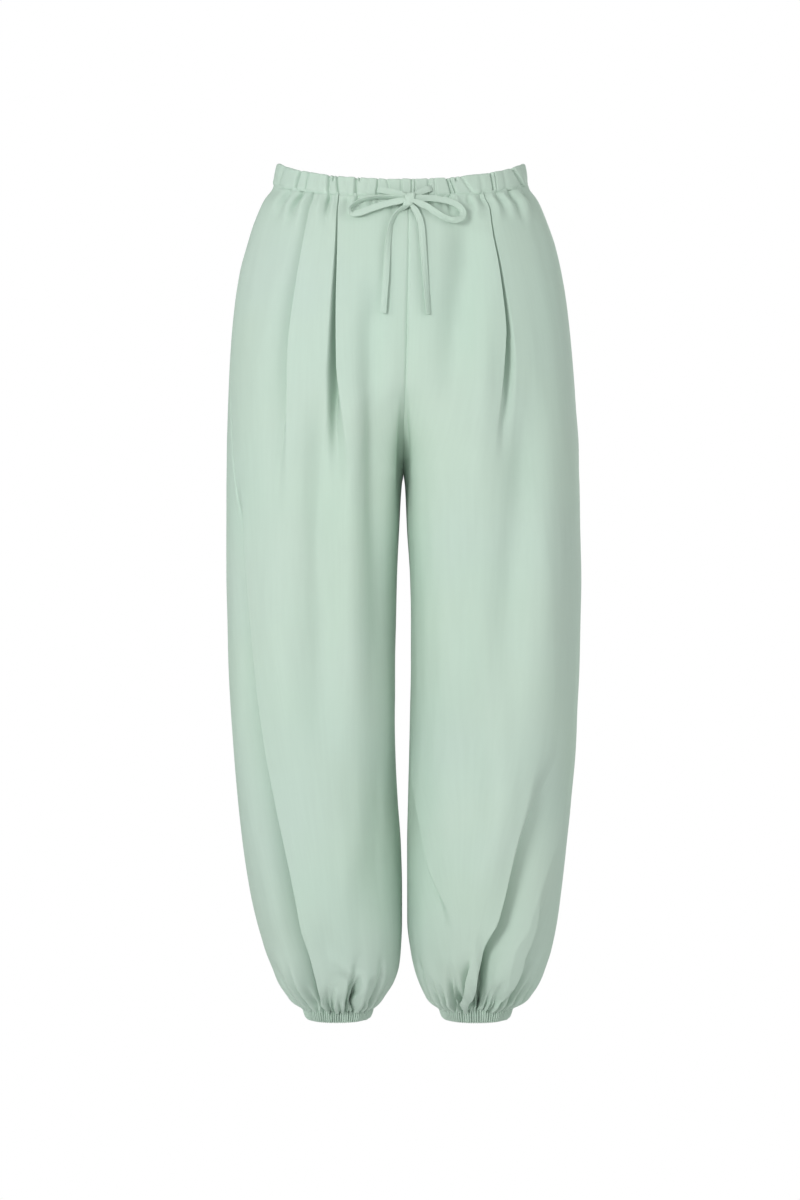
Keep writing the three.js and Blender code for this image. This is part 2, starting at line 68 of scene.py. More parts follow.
# A row for each level of the body, as in the frame's solids.
LEVEL_COLUMNS = ("z", "outer_right", "outer_left", "edge_right", "edge_left", "wrap", "front", "back")
LEVELS = (
    (20, 136, 131, 0, 0, 0, 83, 83),
    (-12, 148, 142, 0, 0, 0, 86, 87),
    (-40, 161, 155, -5.5, 5.5, 0, 88.5, 90),
    (-60, 169, 163, -5.5, 5.5, 0.02, 94, 98),
    (-80, 175, 170, -5.2, 5.2, 0.05, 98.5, 104),
    (-110, 183, 177, -5, 5, 0.1, 104, 110),
    (-150, 189, 183.5, -4, 4, 0.19, 108, 115.5),
    (-195, 193, 188.5, -3, 3, 0.33, 111, 119.5),
    (-235, 195, 191.5, -2, 2, 0.45, 112.5, 120.5),
    (-265, 196, 193, -1, 1, 0.74, 113, 120),
    (-285, 196.5, 194.5, -0.3, 0.1, 0.87, 113, 118.5),
    (-300, 197, 195.5, -0.3, -0.3, 0.935, 112.5, 117),
    (-312, 197.2, 195.8, -0.3, -0.3, 0.975, 112, 116),
    (-RISE, 197.4, 196, -0.3, -0.3, 1, 111.7, 115.5),
    (-337, 197.5, 196.2, -0.2, -0.2, 1, 111.5, 115),
    (-345, 197.7, 196.6, 1.5, 1.2, 1, 111, 113.5),
    (-400, 197.7, 197.7, 5, 3.9, 1, 109, 110),
    (-450, 197.7, 198.8, 7.3, 7.3, 1, 107, 108),
    (-500, 196.6, 197.7, 8.4, 8.4, 1, 105, 106),
    (-550, 195.4, 196.6, 9.5, 8.4, 1, 103.5, 104.5),
    (-600, 193.2, 194.3, 9.5, 7.3, 1, 102, 103),
    (-650, 189.8, 192.1, 8.4, 6.2, 1, 100.5, 101.5),
    (-700, 185.4, 187.6, 6.2, 5, 1, 99, 100),
    (-752, 179.8, 182, 2.8, 3.9, 1, 96.5, 97.5),
    (-802, 171.9, 176.4, 1.5, 3.9, 1, 93, 94),
    (-836, 164.1, 171.9, 1.5, 3.9, 1, 89, 90),
    (-869, 154, 165.2, 3, 7.3, 1, 82, 83),
    (-886, 147.3, 159.6, 5, 10.6, 1, 77, 78),
    (-903, 140.6, 152.9, 10.6, 16.2, 1, 70, 71),
    (-919, 128.5, 141, 21.8, 25.2, 1, 57, 58),
    (CUFF_TOP, 115, 123.8, 32, 37.8, 1, 43, 43),
)
TURN_COLUMNS = ("z", "out_right", "in_right", "out_left", "in_left")
TURNS = (
    (0, 0, 0, 0, 0),
    (-150, 0, 0, 0, 0),
    (-275, 18, 0, -3, 0),
    (-345, 29, -4, -8, 0),
    (-405, 36, -9, -13, 0),
    (-516, 46, -18, -22, 1),
    (-600, 53, -25, -29, 6),
    (-690, 61, -33, -38, 15),
    (-743, 65, -40, -43, 33),
    (-811, 70, -48, -50, 54),
    (-870, 75, -54, -55, 64),
    (CUFF_TOP, 76, -58, -58, 66),
)

# ---- folds

# The lines that folds and seams follow down the legs, (z, x) from the top.
RIGHT_OUTSEAM = (
    (-330, 187), (-405, 179.5), (-516, 167.5), (-622, 152.1), (-700, 137.5), (-801, 116.3), (-841, 108.7),
    (-875, 98.6), (-904, 92.2), (-918, 89.5), (-940, 90.4))
LEFT_INSEAM = (
    (-560, 4), (-676, 8.5), (-718, 16.6), (-759, 24.7), (-794, 32.7), (-815, 40.9), (-880, 54), (-929, 61))
RIGHT_PLEAT = ((-38, 71.8), (-88, 71.8), (-163, 72.4), (-250, 70.8), (-337, 68.6), (-480, 69))
RIGHT_SHALLOW_PLEAT = (
    (-38, 101.5), (-86, 109.7), (-130, 116.2), (-189, 123.8), (-261, 130), (-348, 135.6), (-480, 139))
LEFT_PLEAT = ((-38, 93), (-69, 96.4), (-121, 104), (-189, 109.4), (-249, 110.4), (-315, 107.2), (-470, 101))
RIGHT_POCKET = ((-884, 51), (-897, 48.4), (-908, 48.6), (-914, 51), (-920, 53.5), (-940, 56))
LEFT_DIAGONAL = (
    (-640, 172), (-696, 150), (-751, 128), (-811, 108.2), (-833, 100), (-845, 92.9), (-859, 86.9),
    (-872, 84.4), (-888, 81.2), (-904, 79.4), (-914, 76.5), (-922, 72.5), (-940, 69))
LEFT_OUTER_HOLLOW = (
    (-790, 160), (-835, 150), (-855, 141.5), (-871, 132.6), (-886, 128.1), (-901, 122.2), (-911.5, 115),
    (-920, 106.7), (-940, 96))
LEFT_INNER_HOLLOW = (
    (-858, 72), (-878, 70), (-893, 68.8), (-905, 68), (-913.5, 66), (-921, 62.5), (-940, 60))
# An edge fold: the cloth stands up to "lift" at its line, drops over "step" and rises again
# over "width". The hollow is outward of the line (+1) or inward of it (-1), and its floor is
# flatter where "floor" is higher (under 1 it rises steeply, then gently); a high "spread" keeps
# it narrow for longer. It deepens and widens over "opening" below "top", and closes
# over "closing" above "bottom"; "over" is how far its edge leans over the hollow.
EDGE_COLUMNS = ("way", "lift", "lift_width", "depth_top", "depth", "width_top", "width_low", "floor",
                "spread", "soft", "step", "over", "top", "start", "opening", "bottom", "closing", "line")
EDGE_FOLDS = {
    "right": (
        # the two pleats at the waist
        (1, 2, 30, 5, 20, 1.2, 14, 2, 1.6, 0, 1.2, 5, -20, 8, 215, -395, 175, RIGHT_PLEAT),
        (1, 2.6, 18, 3.6, 12, 4, 36, 1.1, 1, 0, 1.6, 4, -20, 8, 200, -400, 220, RIGHT_SHALLOW_PLEAT),
        # the leg's side edge and the hollow over its cuff
        (1, 3.4, 26, 12, 33, 16, 36, 1, 1, 6, 2, 6, -330, 120, 330, -960, 20, RIGHT_OUTSEAM),
        (1, 2.6, 9, 4, 15, 18, 9, 0.8, 1, 6, 1.4, 4, -880, 30, 34, -960, 20, RIGHT_POCKET),
    ),
    "left": (
        # the pleat at the waist
        (1, 2.8, 20, 4.6, 15, 1.2, 13, 1.8, 1.6, 0, 1.2, 5, -20, 8, 200, -340, 160, LEFT_PLEAT),
        # the long diagonal folds and the hollows over the cuff
        (1, 3.4, 26, 6, 21, 46, 34, 0.9, 1, 26, 2.2, 5, -620, 120, 215, -960, 25, LEFT_DIAGONAL),
        (1, 2.6, 16, 1, 12, 24, 20, 0.8, 1, 10, 1.6, 4, -780, 60, 100, -960, 20, LEFT_OUTER_HOLLOW),
        (-1, 2.6, 10, 3, 13, 20, 10, 0.8, 1, 4, 1.4, 4, -858, 34, 40, -960, 20, LEFT_INNER_HOLLOW),
        (-1, 1.6, 6, 1, 7, 14, 8, 0.8, 1, 3, 1, 2, -888, 24, 26, -960, 20,
         ((-888, 46), (-900, 51), (-912, 55), (-922, 57.5), (-940, 58))),
        # the inner seam pulls a soft edge forward over the calf
        (-1, 3.4, 24, 3, 8, 12, 24, 1, 1, 2, 2, 1, -600, 70, 120, -850, 90, LEFT_INSEAM),
    ),
}

END_SOFTNESS = 9.0  # how far an edge's step widens where it closes
SOFT_SCALE = 2.0
# Soft folds: a ridge has a positive height, a trough a negative one.
SOFT_COLUMNS = ("height", "width", "top", "opening", "bottom", "closing", "line")
SOFT_FOLDS = {
    ("right", "front"): (
        # the crotch
        (-2.6, 4, -235, 80, -400, 70, ((-235, 0), (-330, 2), (-400, 6))),
        # thigh and knee
        (-5.4, 19, -190, 150, -720, 220, ((-190, 88), (-300, 88), (-420, 89), (-560, 88), (-720, 92))),
        (3, 16, -180, 120, -700, 200, ((-180, 56), (-400, 60), (-700, 52))),
        (-4, 12, -90, 110, -620, 240, ((-90, 34), (-200, 35), (-300, 30), (-620, 24))),
        (2.2, 20, -380, 160, -780, 200, ((-380, 150), (-560, 132), (-780, 108))),
        (-3, 22, -600, 120, -860, 100, ((-600, 22), (-720, 26), (-860, 30))),
        (1.8, 18, -640, 120, -840, 100, ((-640, 50), (-760, 56), (-840, 64))),
        # over the cuff
        (-3.4, 14, -810, 60, -925, 40, ((-810, 90), (-850, 84), (-888, 70), (-925, 60))),
        (1.7, 7, -846, 34, -935, 20, ((-846, 82), (-868, 74), (-881, 63), (-889, 52), (-897, 45),
         (-910, 42), (-935, 45))),
        (2.6, 9, -850, 40, -935, 20, ((-850, 152), (-883, 129.5), (-907, 113), (-935, 92))),
        (-2.6, 5, -886, 24, -935, 10, ((-886, 30), (-900, 33.5), (-912, 37), (-935, 40))),
    ),
    ("left", "front"): (
        # the crotch
        (-2.6, 4, -235, 80, -400, 70, ((-235, 0), (-330, 2), (-400, 6))),
        # hip and thigh
        (-6, 19, -42, 60, -340, 200, ((-42, 70.5), (-110, 68.4), (-164, 60), (-215, 54), (-340, 48))),
        (3.6, 17, -130, 120, -460, 200, ((-130, 86), (-300, 82), (-460, 62))),
        (-5.4, 22, -190, 150, -660, 240, ((-190, 134), (-300, 132), (-430, 121), (-560, 111), (-660, 100))),
        (3, 22, -320, 150, -700, 200, ((-320, 152), (-500, 154), (-700, 150))),
        (2.4, 22, -360, 150, -640, 160, ((-360, 36), (-500, 36), (-640, 38))),
        # knee and shin
        (-3.6, 18, -540, 120, -780, 120, ((-540, 76), (-640, 74), (-780, 70))),
        (3.2, 20, -600, 110, -860, 90, ((-600, 114), (-700, 108), (-790, 84), (-860, 62))),
        (2, 8, -860, 40, -935, 20, ((-860, 116), (-900, 100), (-935, 90))),
        (-1.4, 9, -850, 40, -935, 20, ((-850, 26), (-890, 40), (-935, 50))),
    ),
    ("right", "back"): (
        (-3.5, 13, -40, 40, -230, 150, ((-40, 46), (-130, 52), (-230, 58))),
        (-4.5, 14, -40, 50, -320, 200, ((-40, 98), (-160, 110), (-320, 122))),
        (-6, 13, -620, 160, -935, 30, ((-620, 40), (-760, 62), (-860, 76), (-935, 80))),
        (3, 14, -640, 160, -935, 30, ((-640, 66), (-760, 88), (-860, 100), (-935, 98))),
        (-4, 16, -300, 40, -430, 80, ((-300, 28), (-360, 52), (-430, 80))),
        (-3.6, 20, -380, 120, -700, 180, ((-380, 120), (-700, 108))),
    ),
    ("left", "back"): (
        (-4, 13, -40, 40, -260, 160, ((-40, 52), (-140, 58), (-260, 66))),
        (-4.5, 14, -40, 50, -310, 200, ((-40, 102), (-160, 114), (-310, 124))),
        (-6, 13, -640, 160, -935, 30, ((-640, 150), (-760, 128), (-860, 104), (-935, 92))),
        (3, 14, -660, 160, -935, 30, ((-660, 124), (-760, 102), (-860, 80), (-935, 74))),
        (-4, 16, -300, 40, -410, 80, ((-300, 30), (-360, 56), (-410, 78))),
        (-3.6, 20, -400, 120, -720, 180, ((-400, 70), (-720, 84))),
    ),
}

# Small puckers hanging from the waist seam on the front: where, how high, how wide, how long
# and how far they lean outwards on the way down.
PUCKER_SCALE = 1.9
PUCKER_COLUMNS = ("x", "height", "width", "length", "lean")
PUCKERS = {
    "right": (
        (138, 1.6, 4, 40, 12), (131, -2.4, 2.6, 44, 12), (124, 1.6, 4, 50, 12), (115.5, -3.8, 2.2, 46, 15),
        (108.5, 2.4, 3.2, 50, 12), (92, 1.8, 4, 56, 5), (83, -3.2, 2, 40, 3), (77, 1.6, 2.6, 40, 3),
        (62, -1.8, 3.4, 32, 1), (56, 1.2, 3, 26, 1), (50.5, -2.4, 2, 26, 0), (42, 1.4, 3.6, 24, 0),
        (35, -1.2, 2.2, 20, 0), (28, -1.6, 2.2, 22, 0), (20, 1.2, 3, 26, 0), (13, -1.4, 2.2, 26, 0),
        (6, 1, 2.4, 30, 0),
    ),
    "left": (
        (7, 1, 2.4, 28, 0), (12, -1.6, 2.2, 26, 0), (20, 1.4, 3, 28, 0), (28, -1.6, 2.4, 26, 0),
        (36, 1.2, 3, 24, 0), (44, -1.4, 2.2, 24, -1), (52, -2.4, 2.2, 32, -1), (60, 1.6, 3.4, 40, -1),
        (74, -1.6, 2.4, 26, 1), (80, 1.8, 4, 44, 2), (88, -1.6, 2, 22, 2), (101, 1.8, 3.4, 44, 5),
        (108, -2, 2.6, 36, 8), (115, 1.6, 3, 40, 9), (123, -3, 2.4, 44, 12), (131, 2, 3.4, 50, 13),
        (138, -2, 2.6, 36, 12),
    ),
}

# Creases across the front waistband: their place at the top and the bottom edge, depth,
# width and how far down they reach (1 is the whole band).
GROOVE_COLUMNS = ("x_top", "x_bottom", "depth", "width", "reach")
GROOVES = (
    (-131, -134, 1, 2.4, 1), (-112.2, -114.3, 3, 1.5, 1), (-102.7, -103.4, 1.3, 0.9, 1),
    (-92, -93, 0.5, 3, 1), (-81, -79, 2.6, 1.6, 1), (-76, -75.6, 2.2, 1.1, 0.35),
    (-72.3, -68.6, 2.2, 1.1, 1), (-62, -61, 0.5, 3, 1), (-51.5, -50.4, 2.5, 1.6, 1),
    (-47.6, -47.4, 1.7, 1, 0.25), (-39, -38, 0.5, 2.4, 1), (-28, -28, 1.5, 0.9, 1),
    (-18.7, -12.2, 0.9, 1.5, 1), (-2.8, -2.6, 0.9, 1.3, 1), (8.4, 8.2, 1.4, 0.9, 1),
    (12.2, 12, 1, 0.8, 1), (27.3, 25.2, 1.5, 1.8, 1), (33, 33.5, 0.8, 1.2, 1),
    (46.8, 50.8, 2.5, 1.6, 1), (49.8, 55.2, 2.1, 1.2, 1), (55.8, 56, 2, 1, 0.3),
    (61.8, 72.6, 0.9, 2.2, 1), (82, 83, 0.5, 3, 1), (94, 95, 2.4, 1.2, 1), (98.4, 98.2, 1, 0.9, 1),
    (108, 109, 0.5, 3, 1), (119, 127.6, 3, 1.6, 1), (130, 133, 0.9, 2.4, 1),
)
GROOVE_SCALE = 1.35
BACK_GROOVES = 26

# Creases that run up into each leg from its cuff: their x at the seam, depth, width, how far
# up they reach and how far they turn round the leg; those out of sight are spread by a loop.
GATHER_COLUMNS = ("x", "depth", "width", "reach", "lean")
GATHERS = {
    "right": (
        (110, 2.2, 1.4, 20, 0), (103, 2.4, 1.5, 26, 0), (96, 2, 1.2, 14, 0), (89.1, 3.6, 1.3, 34, 0.05),
        (85.8, 2.6, 0.9, 16, 0), (80.8, 2.8, 0.9, 13, 0.1), (77.3, 2.4, 0.9, 12, 0.1), (70, 1.2, 1, 7, 0),
        (63.6, 3.6, 1.2, 24, 0.16), (59.6, 1.6, 1, 16, 0.06), (55.2, 3.2, 1.2, 20, -0.05),
        (48, 1.4, 1, 8, 0), (41.5, 2.4, 1.3, 24, -0.1), (36.5, 2, 1.2, 16, 0),
    ),
    "left": (
        (41.5, 2.4, 1.3, 24, -0.08), (47, 2.2, 1.1, 14, 0), (51.5, 2, 1, 12, 0),
        (57.6, 3, 1.2, 22, -0.1), (64.2, 3.4, 1.3, 20, 0.02), (72, 1.4, 1, 8, 0),
        (76.4, 1.8, 1, 14, 0.04), (80.6, 4.2, 1.3, 36, 0.03), (84.4, 1.8, 0.9, 12, 0),
        (88, 2.8, 1, 14, -0.04), (92.4, 2.4, 0.9, 12, 0), (95.8, 2.6, 0.9, 13, 0.04),
        (102, 1.6, 1, 9, 0), (108.6, 2.8, 1.2, 22, -0.12), (113.4, 2.4, 1.1, 18, -0.1),
        (119, 2, 1.2, 16, 0),
    ),
}
GATHER_SCALE = {"depth": 3.7, "width": 1.4, "reach": 2.9}
HIDDEN_GATHERS = {"count": 15, "from": 190.0, "to": 350.0}
CUFF_RIBS = 92
CUFF_TAPER = 3.8  # how much narrower the cuff's mouth is than its seam
RIB_DEPTH = 2.6

# ---- the drawstring

# Routes as in the frame's solids: x, z and how far the middle of the string
# stands in front of the cloth, with the turn of its flat face in degrees (0 faces the front).
STRING_ROUTES = {
    "string_loop_right": (
        (-0.6, -41.2, 8.2, 20), (-11, -40.4, 6.2, 50), (-25, -39.4, 4.8, 62), (-39, -40.9, 4.6, 62),
        (-51, -45.2, 5.2, 60), (-57.5, -51.5, 6.6, 60), (-56, -57.5, 7.8, 30), (-48, -57.3, 8, 5),
        (-35, -52.6, 8, 0), (-20, -48, 8.4, 0), (-9, -45.6, 9.4, 0), (-0.9, -44.6, 10.6, 0)),
    "string_loop_left": (
        (12.6, -41.2, 8.2, 0), (23, -40.8, 5.8, 5), (37, -41.6, 4.8, 10), (51, -44.4, 5, 10),
        (60.6, -49.6, 5.8, 10), (64.6, -56.5, 7, 5), (62, -63, 7.8, 10), (54.6, -65.4, 8, 30),
        (45, -63, 8, 35), (35.4, -57.4, 8, 25), (26.8, -51.6, 8.4, 15), (19, -47.8, 9.4, 5),
        (12.8, -45.4, 10.6, 0)),
    "string_tail_right": (
        (2.4, -50.4, 6.6, 30), (-3.2, -53.6, 4.4, 60), (-8.6, -59, 3.4, 62), (-13.4, -68.7, 3.2, 55),
        (-16.6, -87, 2.8, 35), (-18, -106.4, 2.6, 15), (-19, -125.7, 2.6, 5), (-20.5, -144.8, 2.6, 0),
        (-22.3, -167.5, 2.6, 0)),
    "string_tail_left": (
        (9.8, -50.6, 6.6, 0), (13.8, -56, 4.2, 0), (18.4, -67.9, 2.8, 0), (20.6, -87.1, 2.6, 10),
        (22, -106.4, 2.6, 20), (23.4, -125.7, 2.8, 30), (24.8, -144.8, 2.8, 40), (26.7, -168.9, 2.8, 48)),
    "string_lead_right": (
        (-28.4, -30.6, 0.9, 0), (-26, -31.2, 2.9, 0), (-20, -32.6, 3.6, 5), (-11, -34.4, 5, 5),
        (-0.6, -37.6, 7.4, 0)),
    "string_lead_left": (
        (30.2, -28.8, 0.9, 0), (27.6, -29.8, 3.1, 0), (21.5, -32.2, 4.6, 0), (12.6, -37, 7.4, 0)),
}
KNOT = {"x": 6.0, "z": -43.0, "out": 7.2, "wide": 13.5, "tall": 15.0, "thick": 9.0, "lean": 1.9}
TUCK = 3.6  # how far the string's ends run on into the knot
CENTRE_GAP = -0.3  # the two legs' panels overlap a little at the centre seams
BAND_FOOT = {"half": 143.0, "deep": 86.8}
BAND = {"top": 136.6, "bottom": 146.0, "deep_top": 83.0, "deep_bottom": 88.0, "shift": -2.8}
TURN = 2.0 * math.pi


# ---- curves and tables

def rows_of(columns, table):
    return [dict(zip(columns, row)) for row in table]


def smooth(t):
    t = np.clip(t, 0.0, 1.0)
    return t * t * (3.0 - 2.0 * t)


def mix(a, b, t):
    return a + (b - a) * t


def unit(vectors):
    return vectors / np.linalg.norm(vectors, axis=-1, keepdims=True)


def curve(levels, values, at):
    """A smooth curve through (level, value) pairs, levels falling, that never overshoots."""
    x = -np.asarray(levels, float)
    y = np.asarray(values, float)
    q = np.clip(-np.asarray(at, float), x[0], x[-1])
    step = np.diff(x)
    slope = np.diff(y) / step
    before, after = slope[:-1], slope[1:]
    together = before + after
    safe = np.where(np.abs(together) < 1e-12, 1.0, together)
    inner = np.where(before * after > 0, 2.0 * before * after / safe, 0.0)
    tangent = np.concatenate([slope[:1], inner, slope[-1:]])
    i = np.clip(np.searchsorted(x, q, side="right") - 1, 0, len(step) - 1)
    t = (q - x[i]) / step[i]
    return ((2 * t**3 - 3 * t**2 + 1) * y[i] + (t**3 - 2 * t**2 + t) * step[i] * tangent[i]
            + (3 * t**2 - 2 * t**3) * y[i + 1] + (t**3 - t**2) * step[i] * tangent[i + 1])


def column(columns, table, name, at):
    k = columns.index(name)
    return curve([row[0] for row in table], [row[k] for row in table], at)


def line_at(line, z):
    return curve([p[0] for p in line], [p[1] for p in line], z)


def lattice_noise(u, v, seed):
    """Smooth noise in -1..1 on a lattice of whole numbers, the same on every run."""
    rng = np.random.default_rng(seed)
    size = 64
    values = rng.uniform(-1.0, 1.0, (size, size))
    iu, iv = np.floor(u).astype(int), np.floor(v).astype(int)
    fu, fv = smooth(u - iu), smooth(v - iv)
    a = values[iu % size, iv % size]
    b = values[(iu + 1) % size, iv % size]
    c = values[iu % size, (iv + 1) % size]
    d = values[(iu + 1) % size, (iv + 1) % size]
    return mix(mix(a, b, fu), mix(c, d, fu), fv)


# ---- the form of the garment

def ring(side, z):
    outer, edge, wrap, front, back = (
        column(LEVEL_COLUMNS, LEVELS, name, z)
        for name in (f"outer_{side}", f"edge_{side}", "wrap", "front", "back"))
    half = (outer - edge) / (1.0 + wrap)
    return {"centre": outer - half, "half": half, "edge": edge, "wrap": wrap, "front": front, "back": back}


def angle_at(r, x):
    """The angle round a leg at which its plain ring has the given x, on the front."""
    return np.arccos(np.clip((x - r["centre"]) / r["half"], -1.0, 1.0))


def waist_seam(theta):
    s = np.sin(theta)
    drop = np.where(s > 0, 26.0, 9.0)
    return -12.3 - drop * np.abs(s) ** 1.2


def fade(z, row):
    return smooth((row["top"] - z) / row["opening"]) * smooth((z - row["bottom"]) / row["closing"])


def from_line(line, x, z):
    """The distance outwards from a line, square to it."""
    slope = (line_at(line, z - 4.0) - line_at(line, z + 4.0)) / 8.0
    return (x - line_at(line, z)) / np.sqrt(1.0 + slope**2)


def edge_fold(row, x, z):
    """Height out of the cloth, and how far the folded edge leans over its hollow."""
    amount = smooth((row["top"] - z) / row["start"]) * smooth((z - row["bottom"]) / row["closing"])
    away = from_line(row["line"], x, z) * row["way"]
    grown = np.clip((row["top"] - z) / row["opening"], 0.0, 1.0)
    width = mix(row["width_top"], row["width_low"], grown ** row["spread"])
    depth = mix(row["depth_top"], row["depth"], smooth(grown))
    ending = 1.0 - smooth((z - row["bottom"]) / row["closing"])
    step = row["step"] + row["soft"] * (1.0 - grown) ** 1.5 + END_SOFTNESS * ending
    lift = row["lift"] * (0.4 + 0.6 * grown) * np.exp(np.minimum(away + step, 0.0) / row["lift_width"])
    share = np.clip(away / width, 0.0, 1.0)
    floor = row["floor"]
    rise = 1.0 - smooth(share) ** (floor / 2.0) if floor >= 1.0 else (1.0 - share) ** (1.0 / floor)
    hollow = -depth * rise
    inside = smooth((away + step) / step)
    height = mix(lift, hollow, inside) * amount
    lean = np.exp(-((away + 0.5 * step) / (2.0 * step)) ** 2)
    crisp = row["step"] / step * (0.3 + 0.7 * smooth(grown))
    return height, lean * row["way"] * (0.5 - inside) * row["over"] * amount * crisp


def soft_fold(row, x, z):
    away = from_line(row["line"], x, z) / row["width"]
    return SOFT_SCALE * row["height"] * fade(z, row) * np.exp(-away * away)


def pucker(row, x, below):
    """Small pucker under the waist seam; below is the distance down from the seam."""
    share = np.clip(below / row["length"], 0.0, 1.0)
    away = (x - row["x"] - row["lean"] * share) / (row["width"] * (1.0 + 0.8 * share))
    start = 0.5 + 0.5 * smooth(below / 7.0)
    return PUCKER_SCALE * row["height"] * start * (1.0 - smooth(share)) * np.exp(-away * away)


def gathers(side, theta, z):
    """Creases that run up from the cuff: in front by table, those out of sight by a seeded loop."""
    rng = np.random.default_rng(11 if side == "right" else 23)
    radius = np.maximum(ring(side, z)["half"], 1.0)
    seam = ring(side, np.array([CUFF_TOP]))
    up = np.maximum(z - CUFF_TOP, 0.0)
    rows = [(float(angle_at(seam, row["x"])[0]), *(GATHER_SCALE[key] * row[key] for key in GATHER_SCALE),
             row["lean"]) for row in rows_of(GATHER_COLUMNS, GATHERS[side])]
    first, last = HIDDEN_GATHERS["from"], HIDDEN_GATHERS["to"]
    for k in range(HIDDEN_GATHERS["count"]):
        place = mix(first, last, (k + rng.uniform(0.2, 0.8)) / HIDDEN_GATHERS["count"])
        rows.append((math.radians(place), rng.uniform(4.0, 7.5), rng.uniform(2.0, 3.4),
                     rng.uniform(26.0, 90.0), rng.uniform(-0.12, 0.12)))
    total = np.zeros_like(theta)
    for place, depth, width, reach, lean in rows:
        share = np.clip(up / reach, 0.0, 1.0)
        off = (theta - place - lean * share + math.pi) % TURN - math.pi
        away = off * radius / (width * (1.0 + 2.4 * share))
        held = 0.6 + 0.4 * smooth(up / 8.0)
        total -= depth * held * (1.0 - share * share) ** 2 * np.exp(-away * away)
    return total


def ruffle(theta, z):
    """Fine shirring right at the cuff's seam."""
    up = np.clip((z - CUFF_TOP) / 8.0, 0.0, 1.0)
    return 0.35 * (1.0 - smooth(up)) * np.cos(theta * CUFF_RIBS / 2)


def relief(side, theta, x, z, below):
    """Height of the cloth out of its plain ring and the lean of its folded edges."""
    front = np.sin(theta) > 0
    calm = smooth(np.abs(np.sin(theta)) * 4.0)
    height = np.zeros_like(x)
    lean = np.zeros_like(x)
    for row in rows_of(EDGE_COLUMNS, EDGE_FOLDS[side]):
        out, over = edge_fold(row, x, z)
        height += np.where(front, out * calm, 0.0)
        lean += np.where(front, over * calm, 0.0)
    for face, here in (("front", front), ("back", ~front)):
        for row in rows_of(SOFT_COLUMNS, SOFT_FOLDS[side, face]):
            height += np.where(here, soft_fold(row, x, z) * calm, 0.0)
    for row in rows_of(PUCKER_COLUMNS, PUCKERS[side]):
        height += np.where(front, pucker(row, x, below) * calm, 0.0)
    seed = 3 if side == "right" else 7
    around = LEG_RADIUS * np.abs((theta + math.pi) % TURN - math.pi)
    from_centre = smooth(np.abs(x) / 14.0)
    back_puckers = lattice_noise(around / 5.5, below / 40.0, seed + 40) * from_centre
    height += np.where(front, 0.0, 3.2 * calm * back_puckers * (1.0 - smooth(below / 55.0)))
    height += from_centre * lattice_noise(around / 34.0, z / 170.0, seed) * smooth(below / 60.0)
    height += 0.4 * from_centre * lattice_noise(around / 15.0, z / 70.0, seed + 20) * smooth(below / 30.0)
    up = np.maximum(z - CUFF_TOP, 0.0)
    joined = np.exp(-((up / 7.0) ** 2))
    puff = 2.4 * np.exp(-(((up - 4.0) / 5.0) ** 2))
    height = height * (1.0 - 0.9 * joined) + puff + gathers(side, theta, z) + ruffle(theta, z)
    return height, lean * (1.0 - joined)


def on_band(x, y):
    """The point of the waistband's lower edge in the direction of (x, y)."""
    away = x - BAND["shift"]
    size = np.sqrt((away / BAND_FOOT["half"]) ** 2 + (y / BAND_FOOT["deep"]) ** 2)
    return BAND["shift"] + away / size, y / size


def lowest_nearby(height, reach_rows, reach_cols):
    """The least height within a few rows and columns, so that the coarse back never shows."""
    low = height
    for axis, reach in ((0, reach_rows), (1, reach_cols)):
        first, last = (np.take(low, [end] * reach, axis) for end in (0, -1))
        padded = np.concatenate([first, low, last], axis)
        size = low.shape[axis]
        low = np.min([np.take(padded, np.arange(k, k + size), axis) for k in range(2 * reach + 1)], axis=0)
    return low


def cloth_points(side, theta, z, below, seam_dip, skip, in_band):
    """Grids of points on the cloth's face and its back; theta is 0 at the leg's outer side."""
    sign = SIDES[side]["sign"]
    r = ring(side, z)
    deep = np.where(np.sin(theta) > 0, r["front"], r["back"])
    cos, sin = np.cos(theta), np.sin(theta)
    nx, ny = cos / r["half"], sin / deep
    size = np.hypot(nx, ny)
    nx, ny = nx / size, ny / size
    plain_x = r["centre"] + r["half"] * cos
    filled = 0.35 * smooth((z + 720) / 200.0) + 0.65 * smooth((z + 520) / 140.0)
    filled = filled * smooth((-170 - z) / 120.0) * ((cos < 0) & (sin > 0))
    square = 2.0 + filled
    sin = np.sign(sin) * np.maximum(1.0 - np.abs(cos) ** square, 0.0) ** (1.0 / square)
    height, lean = relief(side, theta, plain_x, z, below)
    near = np.exp(-((below / 9.0) ** 2))
    band_x, band_y = on_band(sign * plain_x, -deep * sin)
    base_x = mix(plain_x, sign * band_x, near)
    base_y = mix(-deep * sin, band_y, near)
    height = np.where(in_band, np.minimum(height, 0.0) - 1.0, height - seam_dip)
    at_seam = np.exp(-((plain_x - r["edge"]) ** 2)) * (z > -RISE)
    petals = smooth(1.0 + gathers(side, theta, CUFF_TOP + 0.0 * theta) / PETAL_DEPTH)
    droop = CUFF_DROOP * np.maximum(sin, 0.0) + PETAL_DROOP * petals
    droop = droop * np.exp(-(((z - CUFF_TOP) / 14.0) ** 2))

    def layer(out, over):
        x = base_x + out * nx + over * ny
        centre = r["edge"] + CENTRE_GAP / 2
        x = mix(np.maximum(x, centre), centre, at_seam)
        return np.stack([sign * x, base_y - (out * ny - over * nx), z - droop], axis=-1)

    return layer(height, lean), layer(lowest_nearby(height, *skip) - CLOTH_WALL, 0.0)


# ---- meshes

